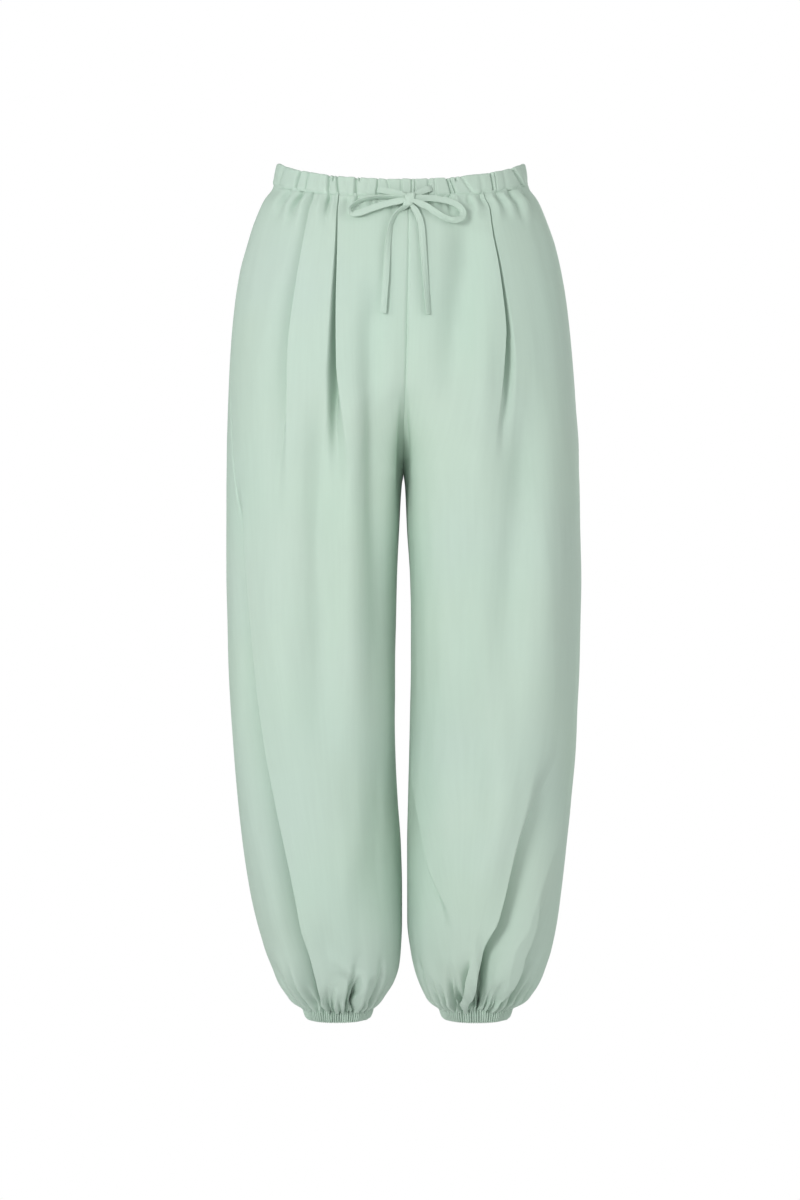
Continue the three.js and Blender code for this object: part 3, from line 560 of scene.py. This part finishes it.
def cloth_object(name, verts, faces, uv, sharp=180):
    """A smooth object with the cloth's own coordinates; verts and uv in millimetres."""
    mesh = bpy.data.meshes.new(name)
    mesh.from_pydata((verts * MM).tolist(), [], faces)
    mesh.polygons.foreach_set("use_smooth", np.ones(len(mesh.polygons), bool))
    corners = np.empty(len(mesh.loops), np.int32)
    mesh.loops.foreach_get("vertex_index", corners)
    layer = mesh.uv_layers.new(name="cloth")
    layer.data.foreach_set("uv", (uv * MM)[corners].astype(np.float32).ravel())
    if sharp < 180:
        mesh.set_sharp_from_angle(angle=math.radians(sharp))
    mesh.update()
    obj = bpy.data.objects.new(name, mesh)
    bpy.context.scene.collection.objects.link(obj)
    return obj


def dress(obj, node, material):
    """Gives a piece its cloth and its node in the frame."""
    obj.data.materials.append(material)
    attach(obj, BODY)
    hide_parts(node)


def edge_strip(outer_edge, inner_edge, skip):
    """Polygons that join the fine edge of the face to the coarser edge of the back."""
    return [tuple(outer_edge[k * skip:(k + 1) * skip + 1]) + (inner_edge[k + 1], inner_edge[k])
            for k in range(len(inner_edge) - 1)]


def shell_object(name, outer, inner, wrap_round, uv, skip=(1, 1)):
    """A closed wall between a face and a coarser back, grids of points in millimetres."""
    rows, cols = outer.shape[:2]
    count = rows * cols

    def grid_faces(n_rows, n_cols, first):
        last = n_cols if wrap_round else n_cols - 1
        i, j = np.meshgrid(np.arange(n_rows - 1) * n_cols, np.arange(last), indexing="ij")
        k = (j + 1) % n_cols
        return first + np.stack([i + j, i + n_cols + j, i + n_cols + k, i + k], -1).reshape(-1, 4)

    inner = inner[:: skip[0], :: skip[1]]
    low_rows, low_cols = inner.shape[:2]
    verts = np.concatenate([outer.reshape(-1, 3), inner.reshape(-1, 3)])
    face_ids = np.arange(count).reshape(rows, cols)
    back_ids = count + np.arange(low_rows * low_cols).reshape(low_rows, low_cols)
    if wrap_round:
        face_ids = np.concatenate([face_ids, face_ids[:, :1]], 1)
        back_ids = np.concatenate([back_ids, back_ids[:, :1]], 1)
    out = grid_faces(rows, cols, 0)
    faces = out.tolist() + grid_faces(low_rows, low_cols, count)[:, ::-1].tolist()
    faces += edge_strip(face_ids[0].tolist(), back_ids[0].tolist(), skip[1])
    faces += edge_strip(face_ids[-1, ::-1].tolist(), back_ids[-1, ::-1].tolist(), skip[1])
    if not wrap_round:
        faces += edge_strip(face_ids[::-1, 0].tolist(), back_ids[::-1, 0].tolist(), skip[0])
        faces += edge_strip(face_ids[:, -1].tolist(), back_ids[:, -1].tolist(), skip[0])
    centre = verts.mean(0)
    p = verts[out]
    facing = np.cross(p[:, 1] - p[:, 0], p[:, 2] - p[:, 0])
    if (facing * (p[:, 0] - centre)).sum() < 0:
        faces = [face[::-1] for face in faces]
    low_uv = uv[:: skip[0], :: skip[1]]
    return cloth_object(name, verts, faces, np.concatenate([uv.reshape(-1, 2), low_uv.reshape(-1, 2)]), 75)


def grid_lengths(points):
    """The cloth's own coordinates on a grid: millimetres across and down."""
    across = np.linalg.norm(np.diff(points, axis=1), axis=-1).mean(0)
    down = np.linalg.norm(np.diff(points, axis=0), axis=-1).mean(1)
    u, v = (np.concatenate([[0.0], np.cumsum(steps)]) for steps in (across, down))
    return np.stack(np.broadcast_arrays(u[None, :], v[:, None]), -1)


def tube_faces(rings, around):
    """Faces of rings of points in a row, with a point at either end, which come last."""
    start, end, low = rings * around, rings * around + 1, (rings - 1) * around
    turns = [(j, (j + 1) % around) for j in range(around)]
    faces = [(i + j, i + k, i + around + k, i + around + j)
             for i in range(0, low, around) for j, k in turns]
    for j, k in turns:
        faces += [(start, k, j), (end, low + j, low + k)]
    return faces


# ---- materials

MINT = (0.497, 0.625, 0.537)


def set_inputs(tree, node, inputs):
    """Sets a node's inputs, each to a value or to another node's output."""
    for key, value in inputs.items():
        if isinstance(value, bpy.types.NodeSocket):
            tree.links.new(value, node.inputs[key])
        else:
            node.inputs[key].default_value = value


def add_node(tree, kind, inputs=None, **settings):
    node = tree.nodes.new("ShaderNode" + kind)
    for key, value in settings.items():
        setattr(node, key, value)
    set_inputs(tree, node, inputs or {})
    return node


def new_material(name):
    material = bpy.data.materials.new(name)
    material.use_nodes = True
    return material, material.node_tree, material.node_tree.nodes["Principled BSDF"]


def cloth_material(name, tint, weave_mm=0.42):
    """Matte plain-woven cloth: warp and weft threads, a faint crepe, soft slubs in its colour."""
    material, tree, shader = new_material(name)
    uv = add_node(tree, "UVMap", uv_map="cloth").outputs["UV"]
    place = add_node(tree, "TexCoord").outputs["Object"]
    thread = {"Scale": 1.0 / (weave_mm * MM) / 20.0 * math.pi, "Distortion": 0.6, "Detail": 1.0, "Vector": uv}
    warp, weft = (add_node(tree, "TexWave", thread, wave_type="BANDS", bands_direction=way).outputs["Fac"]
                  for way in "XY")
    weave = add_node(tree, "Math", {0: warp, 1: weft}, operation="MULTIPLY").outputs["Value"]
    crepe = add_node(tree, "TexNoise", {"Scale": 900.0, "Detail": 2.0, "Vector": uv}).outputs["Fac"]
    stretch = add_node(tree, "Mapping", {"Scale": (260.0, 14.0, 1.0), "Vector": uv}).outputs["Vector"]
    slubs = add_node(tree, "TexNoise", {"Scale": 1.0, "Detail": 3.0, "Vector": stretch}).outputs["Fac"]
    patches = add_node(tree, "TexNoise", {"Scale": 6.0, "Detail": 2.0, "Vector": place}).outputs["Color"]
    normal = add_node(tree, "Bump", {"Strength": 0.25, "Distance": 0.0001, "Height": weave}).outputs["Normal"]
    normal = add_node(tree, "Bump", {"Strength": 0.12, "Distance": 0.0003, "Height": crepe,
                                     "Normal": normal}).outputs["Normal"]
    ramp = add_node(tree, "ValToRGB", {"Fac": slubs})
    for stop, position, tone in zip(ramp.color_ramp.elements, (0.3, 0.7), (0.985, 1.01)):
        stop.position = position
        stop.color = (*[min(c * tone, 1.0) for c in tint], 1.0)
    colour = add_node(tree, "Mix", {"Factor": 0.06, "A": ramp.outputs["Color"], "B": patches},
                      data_type="RGBA", blend_type="MULTIPLY").outputs["Result"]
    set_inputs(tree, shader, {
        "Base Color": colour, "Normal": normal, "Roughness": 0.86, "Specular IOR Level": 0.16,
        "Sheen Weight": 0.14, "Sheen Roughness": 0.45, "Sheen Tint": (0.72, 0.93, 0.79, 1.0)})
    return material


# ---- camera first, then the drawstring

def make_camera():
    data = bpy.data.cameras.new("camera")
    data.sensor_width = CAMERA["sensor"]
    data.lens = CAMERA["sensor"] * CAMERA["distance"] / (FRAME_HEIGHT_PX * MM_PER_PIXEL)
    data.clip_end = 50.0
    camera = bpy.data.objects.new("camera", data)
    camera.location = (CAMERA["x"] * MM, -CAMERA["distance"] * MM, CAMERA["z"] * MM)
    camera.rotation_euler = (math.radians(90), 0, 0)
    bpy.context.scene.collection.objects.link(camera)
    bpy.context.scene.camera = camera


def front_face(x, z):
    """The y of the garment's front at a point near the centre front, in millimetres."""
    if z > -38:
        down = float(smooth((-17.8 - z) / 25.0))
        half = mix(BAND["top"], BAND["bottom"], down)
        deep = mix(BAND["deep_top"], BAND["deep_bottom"], down) + 1.3
        return -deep * math.sqrt(1 - ((x - BAND["shift"]) / half) ** 2)
    side = "right" if x < float(column(LEVEL_COLUMNS, LEVELS, "edge_left", z)) else "left"
    r = ring(side, np.array([z]))
    local = x * SIDES[side]["sign"]
    cos = max(-1.0, min(1.0, (local - float(r["centre"][0])) / float(r["half"][0])))
    return -(float(r["front"][0]) * math.sqrt(1 - cos * cos)) - 0.5


def spline(points, count):
    """Evenly spaced points on a centripetal Catmull-Rom curve through the given rows."""
    p = np.asarray(points, float)
    first, last = 2 * p[0] - p[1], 2 * p[-1] - p[-2]
    p = np.concatenate([[first], p, [last]])
    fine = []
    for k in range(1, len(p) - 2):
        knots = [0.0]
        for m in range(3):
            knots.append(knots[-1] + np.linalg.norm(p[k + m][:3] - p[k + m - 1][:3]) ** 0.5)

        def between(m, n, a, b, t):
            reach = knots[n] - knots[m]
            return (knots[n] - t) / reach * a + (t - knots[m]) / reach * b

        for t in np.linspace(knots[1], knots[2], 24, endpoint=False):
            a1, a2, a3 = (between(m, m + 1, p[k + m - 1], p[k + m], t) for m in range(3))
            fine.append(between(1, 2, between(0, 2, a1, a2, t), between(1, 3, a2, a3, t), t))
    fine.append(p[-2])
    fine = np.array(fine)
    length = np.concatenate([[0], np.cumsum(np.linalg.norm(np.diff(fine[:, :3], axis=0), axis=1))])
    at = np.linspace(0, length[-1], count)
    return np.stack([np.interp(at, length, fine[:, k]) for k in range(fine.shape[1])], 1), length[-1]


def boxed(value, power):
    """Brings a sine or cosine nearer to a box's side."""
    return np.sign(value) * np.abs(value) ** power


def string_section(count=28):
    """The flat string's section: rounded long edges and a shallow middle, as a pressed tube has."""
    angle = np.arange(count) / count * 2 * math.pi
    wide = boxed(np.cos(angle), 0.6) * STRING_WIDTH / 2
    thick = boxed(np.sin(angle), 0.6) * STRING_THICK / 2
    pinch = 1.0 - 0.45 * np.exp(-((np.abs(wide) - 2.2) / 0.5) ** 2)
    return wide, thick * pinch


def tucked(rows):
    """The route with its ends at the knot run on into it, so that they come from under the wrap."""
    points = np.array(rows, float)
    knot = np.array([KNOT["x"], 0.0, KNOT["z"]])
    for end, step in ((0, 1), (-1, -1)):
        near = points[end, :3] * (1.0, 0.0, 1.0)
        if np.linalg.norm(near - knot) > KNOT["tall"]:
            continue
        ahead = unit(points[end, :3] - points[end + step, :3])
        points[end, :3] += TUCK * ahead + (0.0, 0.6, 0.0)
    return points


def string_piece(name, material):
    steps = 96
    rows = [(x, front_face(x, z) - out, z, turn) for x, z, out, turn in STRING_ROUTES[name]]
    path, length = spline(tucked(rows), steps)
    centre, turn = path[:, :3], np.radians(path[:, 3])
    tangent = unit(np.gradient(centre, axis=0))
    wide_way = unit(np.cross(tangent, [0.0, -1.0, 0.0]))
    thick_way = np.cross(wide_way, tangent)
    across = wide_way * np.cos(turn)[:, None] + thick_way * np.sin(turn)[:, None]
    through = thick_way * np.cos(turn)[:, None] - wide_way * np.sin(turn)[:, None]
    wide, thick = string_section()
    taper = np.ones(steps)
    ends = np.linspace(0, 1, steps) * length
    if "lead" not in name:
        taper *= 0.6 + 0.4 * smooth(np.minimum(ends, 9.0) / 9.0)
    if "tail" not in name:
        taper *= 0.6 + 0.4 * smooth(np.minimum(length - ends, 9.0) / 9.0)
    rings = (centre[:, None, :] + across[:, None, :] * (wide[None, :] * taper[:, None])[..., None]
             + through[:, None, :] * thick[None, :, None])
    verts = np.concatenate([rings.reshape(-1, 3), centre[:1] - tangent[:1] * 0.3,
                            centre[-1:] + tangent[-1:] * 0.5])
    count = len(wide)
    u = np.append(np.tile(np.arange(count) / count * 2 * STRING_WIDTH, steps), [0, 0])
    v = np.append(np.repeat(ends, count), [0, length])
    obj = cloth_object(name + "_cloth", verts, tube_faces(steps, count), np.stack([u, v], 1), 60)
    dress(obj, name, material)


def string_knot(material):
    """The knot: a wrap of flat string pulled tight round the crossing, with its folds."""
    y = front_face(KNOT["x"], KNOT["z"]) - KNOT["out"]
    rings, around = 48, 72
    polar = np.linspace(0.0, math.pi, rings)[:, None]
    turn = np.linspace(0, 2 * math.pi, around, endpoint=False)[None, :]
    x = boxed(np.cos(turn), 0.6) * np.sin(polar) ** 0.45
    out = boxed(np.sin(turn), 0.8) * np.sin(polar) ** 0.45
    z = boxed(np.cos(polar), 0.7) * np.ones_like(turn)
    folds = 1.0 + 0.05 * np.cos(7 * x + 4 * z) + 0.03 * np.cos(13 * x + 8 * z + 1)
    waist = 1.0 - 0.12 * (1.0 - z * z)
    pts = np.stack([x * waist * KNOT["wide"] / 2 + KNOT["lean"] * z, out * folds * KNOT["thick"] / 2,
                    (z + 0.10 * x) * KNOT["tall"] / 2], -1)
    pts += np.array([KNOT["x"], y, KNOT["z"]])
    verts = np.concatenate([pts[1:-1].reshape(-1, 3), pts[0, :1], pts[-1, :1]])
    faces = [face[:1] + face[:0:-1] for face in tube_faces(rings - 2, around)]
    obj = cloth_object("string_knot_cloth", verts, faces, verts[:, [0, 2]])
    dress(obj, "string_knot", material)


# ---- leg panels

PANEL_ROWS = {"front": (48, 135, 66), "back": (36, 112, 61)}
BACK_SKIP = {"front": (2, 3), "back": (2, 3)}
# Lines that columns of the front panels keep to, each with the columns between it and the one
# before; the last number is the columns up to the inner seam.
TRACKS = {
    "right": (
        (100, RIGHT_SHALLOW_PLEAT + ((-600, 126), (-700, 112), (-801, 96), (-875, 85), (-940, 80))),
        (80, RIGHT_PLEAT + ((-700, 64), (-800, 58)) + RIGHT_POCKET),
        150),
    "left": (
        (105, ((-38, 136), (-235, 182), (-470, 190), (-640, 184), (-720, 173)) + LEFT_OUTER_HOLLOW),
        (50, ((-38, 122), (-235, 165), (-470, 178), (-560, 178)) + LEFT_DIAGONAL),
        (75, LEFT_PLEAT + ((-640, 94), (-760, 82)) + LEFT_INNER_HOLLOW),
        100),
}
BACK_COLUMNS = 201
CLOSER = 0.62  # how much the columns crowd at a track
WAIST_END = -110.0
BAND_TUCK = 3.0  # how far the panels run up behind the waistband
GATHER_START = -850.0
EDGE_SHIFT = 0.12  # how far front panels reach over their seams and back panels stay short


def seam_angles(side, face, z):
    out_turn = np.radians(column(TURN_COLUMNS, TURNS, f"out_{side}", z))
    in_turn = np.radians(column(TURN_COLUMNS, TURNS, f"in_{side}", z))
    r = ring(side, z)
    closing = np.arccos(-np.clip(r["wrap"], 0.0, 1.0))
    inner = closing - np.where(z < -RISE, in_turn, 0.0)
    if side == "right":
        out_turn = mix(out_turn, angle_at(r, line_at(RIGHT_OUTSEAM, z) + 1.2), smooth((-RISE - z) / 60.0))
    else:
        inner = mix(inner, angle_at(r, line_at(LEFT_INSEAM, z) - 1.2), smooth((-640.0 - z) / 60.0))
    if face == "front":
        return out_turn, inner
    return out_turn + TURN, np.where(z < -RISE, inner, TURN - closing)


def panel_columns(side, face, z):
    """Column angles of a panel at the levels z (rows, 1); they keep to the tracks and crowd there."""
    start, end = seam_angles(side, face, z)
    knots, counts = [start], []
    *tracks, last = TRACKS[side] if face == "front" else (BACK_COLUMNS - 1,)
    for columns, line in tracks:
        angle = angle_at(ring(side, z), line_at(line, z))
        knots.append(np.clip(angle, knots[-1] + 0.01, end - 0.01))
        counts.append(columns)
    knots.append(end)
    counts.append(last)
    parts = [knots[0]]
    for k, columns in enumerate(counts):
        share = np.linspace(0.0, 1.0, columns + 1)[None, 1:]
        parts.append(mix(knots[k], knots[k + 1], mix(share, smooth(share), CLOSER)))
    return np.concatenate(parts, axis=1)


def leg_panel(side, face, material):
    count = PANEL_ROWS[face]
    share = np.linspace(0, 1, count[0]) ** 1.4
    body = np.linspace(WAIST_END, GATHER_START, count[1] + 1)[1:]
    low = mix(GATHER_START, CUFF_TOP - 1.5, np.linspace(0, 1, count[2] + 1)[1:])
    z_rows = np.concatenate([mix(-40.0, WAIST_END, share), body, low])[:, None]
    theta = panel_columns(side, face, z_rows)
    seam = waist_seam(theta[:1]) - 0.1
    z = np.broadcast_to(z_rows, theta.shape).copy()
    z[: count[0]] = mix(seam, WAIST_END, share[:, None])
    z[:2] = seam + np.array([[BAND_TUCK], [0.3]])
    below = np.maximum(seam - z, 0.0)
    r = ring(side, z)
    speed = np.hypot(r["half"] * np.sin(theta), r["front"] * np.cos(theta))
    shift = EDGE_SHIFT if face == "front" else -EDGE_SHIFT
    theta[:, 0] -= shift / speed[:, 0]
    theta[:, -1] += shift / speed[:, -1]
    from_edge = np.minimum(np.abs(theta - theta[:, :1]), np.abs(theta - theta[:, -1:])) * speed
    dip = 0.8 * np.exp(-((from_edge / 1.8) ** 2)) * (1.0 - 0.8 * smooth((-740 - z) / 60.0))
    dip += 0.25 * np.exp(-((below / 1.6) ** 2))
    if face == "front":
        from_centre = np.abs(theta - theta[:, -1:]) * speed
        dip += 0.9 * np.exp(-((from_centre / 1.3) ** 2)) * (z > -RISE)
    dip += 1.6 * np.exp(-(((z - CUFF_TOP + 1.5) / 1.4) ** 2))
    outer, inner = cloth_points(side, theta, z, below, dip, BACK_SKIP[face], z > seam)
    name = f"{face}_{side}"
    obj = shell_object(name + "_cloth", outer, inner, False, grid_lengths(outer), BACK_SKIP[face])
    dress(obj, name, material)


# ---- waistband

def band_grooves(face, across, down):
    """Depth of the creases over the band; across is x at the front, down is 0 at the top."""
    total = np.zeros_like(across * down)
    if face == "front":
        for row in rows_of(GROOVE_COLUMNS, GROOVES):
            line = mix(row["x_top"], row["x_bottom"], down)
            ends = 1.0 - smooth((down - row["reach"] + 0.12) / 0.14) if row["reach"] < 1 else 1.0
            away = (across - line) / (0.85 * row["width"])
            total += GROOVE_SCALE * row["depth"] * ends * np.exp(-away * away)
        return total
    rng = np.random.default_rng(5)
    for k in range(BACK_GROOVES):
        place = -136 + (k + rng.uniform(0.2, 0.8)) * 272 / BACK_GROOVES
        lean, depth = rng.uniform(-3, 3), rng.uniform(0.8, 2.8)
        away = (across - place - lean * down) / rng.uniform(1.0, 2.2)
        total += depth * np.exp(-away * away)
    return total


BAND_ROWS = np.concatenate([[0, 0.008, 0.02, 0.035, 0.055, 0.08, 0.11], np.linspace(0.15, 0.95, 17),
                            [0.98, 1.0]])
BAND_COLUMNS = 641


def band_half(face, material):
    start = 0.0 if face == "front" else math.pi
    theta = np.linspace(start, start + math.pi, BAND_COLUMNS)[None, :]
    down = BAND_ROWS[:, None]
    s = np.abs(np.sin(theta))
    crown = 13.2 - (31.0 if face == "front" else 8.5) * s**1.2 - 2.2 * np.exp(-(s / 0.11) ** 2)
    seam = waist_seam(theta)
    along = BAND["shift"] + BAND["top"] * np.cos(theta)
    grooves = band_grooves(face, along, down)
    puff = np.exp(-((grooves / 0.9) ** 2))
    bulge = 0.7 * np.sin(math.pi * down) ** 0.7 * (0.35 + 0.65 * puff) - 0.9 * smooth((down - 0.86) / 0.14)
    waves = 0.5 * lattice_noise(along / 11.0 + 40, down * 1.2, 9)
    turned = -1.5 * (1.0 - np.sqrt(1.0 - (1.0 - np.clip(down / 0.06, 0.0, 1.0)) ** 2))
    lower = 0.6 * lattice_noise(along / 6.0 + 11, 0 * along, 12) * smooth((down - 0.6) / 0.4)
    foot = 0.0
    for side, rows in PUCKERS.items() if face == "front" else ():
        own = along * SIDES[side]["sign"]
        foot = foot + sum(pucker(row, own, 0 * own) * (own > 0) for row in rows_of(PUCKER_COLUMNS, rows))
    out = bulge + waves + turned + lower - grooves + 0.3 * foot * smooth((down - 0.62) / 0.38)
    pull = np.maximum(grooves - 0.8, 0.0) + BAND_WALL
    notch = 0.5 * np.minimum(grooves, 3.0) * np.exp(-(down / 0.12) ** 2)
    z = mix(crown + 0.4 * lattice_noise(along / 9.0, 0 * along, 31), seam, down) - notch

    def layer(height):
        half = mix(BAND["top"] + 2.4, BAND_FOOT["half"], down) + height
        deep = mix(BAND["deep_top"] - 1.0, BAND_FOOT["deep"], smooth(down)) + height
        return np.stack([BAND["shift"] + half * np.cos(theta), -deep * np.sin(theta), z], -1)

    outer = layer(out)
    name = f"waistband_{face}"
    obj = shell_object(name + "_cloth", outer, layer(-pull), False, grid_lengths(outer), (1, 2))
    dress(obj, name, material)


# ---- cuffs

def cuff(side, material):
    spec = SIDES[side]
    sign = spec["sign"]
    columns, rows = 1056, 14
    theta = np.linspace(0, TURN, columns, endpoint=False)[None, :]
    down = np.linspace(0, 1, rows)[:, None]
    wander = 0.7 * lattice_noise(theta * 24.0 / TURN, down * 1.5, 17 + int(sign))
    phase = theta * CUFF_RIBS + wander
    uneven = 1.0 + 0.4 * lattice_noise(theta * CUFF_RIBS / TURN, 0 * theta, 61)
    ribs = -RIB_DEPTH * uneven * (0.5 + 0.5 * np.cos(phase)) ** 1.6
    ribs = ribs + 0.8 * lattice_noise(theta * 6.0, down * 1.5, 65)
    round_leg = np.arctan2(-np.sin(theta), sign * np.cos(theta))
    creases = np.maximum(gathers(side, round_leg, CUFF_TOP + 0.0 * theta), -8.0)
    ribs = ribs + 0.4 * creases * (1.0 - smooth(down / 0.7))
    wall = spec["cuff_radius"] - CUFF_TAPER * down**1.4
    radius = wall + 0.5 * np.sin(math.pi * down) + ribs
    radius = radius - 0.9 * np.exp(-(down / 0.18) ** 2) - 0.8 * np.exp(-((1 - down) / 0.06) ** 2)
    inside = np.minimum(wall - CUFF_WALL, lowest_nearby(radius, 1, 8) - 0.6)
    z = mix(CUFF_TOP + 2.0, CUFF_BOTTOM, down) + 0.25 * np.cos(phase) * np.exp(-((1 - down) / 0.1) ** 2)
    z = z - CUFF_DROOP * np.maximum(-np.sin(theta), 0.0)
    middle = sign * spec["cuff_x"]
    outer, inner = (np.stack([middle + size * np.cos(theta), size * np.sin(theta), z], -1)
                    for size in (radius, inside))
    lengths = np.stack(np.broadcast_arrays(theta * spec["cuff_radius"], down * 17.0), -1)
    obj = shell_object(f"cuff_{side}_cloth", outer, inner, True, lengths, (1, 4))
    dress(obj, f"cuff_{side}", material)


# ---- studio

FLOOR_WHITE = 0.72  # what the floor throws back; the camera sees it white
WORLD_LIGHT = 0.45

def seen_apart(tree, lit, seen, output):
    """The camera sees one shader while light and shadow come from the other."""
    rays = add_node(tree, "LightPath").outputs["Is Camera Ray"]
    blend = add_node(tree, "MixShader", {"Fac": rays, 1: lit, 2: seen}).outputs["Shader"]
    set_inputs(tree, tree.nodes[output], {"Surface": blend})


def make_stage():
    bpy.ops.mesh.primitive_plane_add(size=1.0, location=(0, 0, 0))
    floor = bpy.context.object
    floor.name = "floor"
    floor.scale = (16.0, 16.0, 1.0)
    floor.location = (0, 2.0, -1.25)
    material, tree, shader = new_material("studio_white")
    set_inputs(tree, shader, {"Base Color": (FLOOR_WHITE, FLOOR_WHITE, FLOOR_WHITE, 1), "Roughness": 0.9})
    glow = add_node(tree, "Emission")
    seen_apart(tree, shader.outputs["BSDF"], glow.outputs["Emission"], "Material Output")
    floor.data.materials.append(material)

    world = bpy.data.worlds.new("studio")
    bpy.context.scene.world = world
    world.use_nodes = True
    tree = world.node_tree
    soft, seen = tree.nodes["Background"], add_node(tree, "Background")
    for node, strength in ((soft, WORLD_LIGHT), (seen, 1.0)):
        set_inputs(tree, node, {"Color": (1, 1, 1, 1), "Strength": strength})
    seen_apart(tree, soft.outputs["Background"], seen.outputs["Background"], "World Output")


def area_light(name, place, target, size, power, spread):
    data = bpy.data.lights.new(name, "AREA")
    data.shape = "RECTANGLE"
    data.size, data.size_y = size
    data.energy = power
    data.spread = math.radians(spread)
    lamp = bpy.data.objects.new(name, data)
    lamp.location = place
    x, y, z = [t - p for t, p in zip(target, place)]
    lamp.rotation_euler = (math.atan2(math.hypot(x, y), -z), 0.0, math.atan2(-x, y))
    bpy.context.scene.collection.objects.link(lamp)


def make_lights():
    middle = (0.0, 0.0, -0.45)
    for lamp in (
            ("key", (-1.35, -2.5, 0.1), middle, (0.7, 0.9), 40.0, 180.0),
            ("side", (-1.9, -1.1, 0.45), (-0.05, 0.0, -0.15), (0.6, 0.8), 1.2, 75.0),
            ("fill", (2.2, -1.8, 0.1), middle, (1.6, 2.2), 21.0, 180.0),
            ("back", (1.0, 2.8, 0.5), middle, (1.4, 1.8), 40.0, 180.0)):
        area_light(*lamp)


# ---- build

bpy.context.scene.view_settings.view_transform = "Standard"
make_camera()
string_material = cloth_material("string_cloth", MINT, weave_mm=0.4)
for string_name in STRING_ROUTES:
    string_piece(string_name, string_material)
string_knot(string_material)
panel_material = cloth_material("cloth", MINT)
cuff_material = cloth_material("cuff_cloth", [c * 0.985 for c in MINT])
for panel_face in ("front", "back"):
    band_half(panel_face, panel_material)
    for panel_side in SIDES:
        leg_panel(panel_side, panel_face, panel_material)
for cuff_side in SIDES:
    cuff(cuff_side, cuff_material)
make_stage()
make_lights()
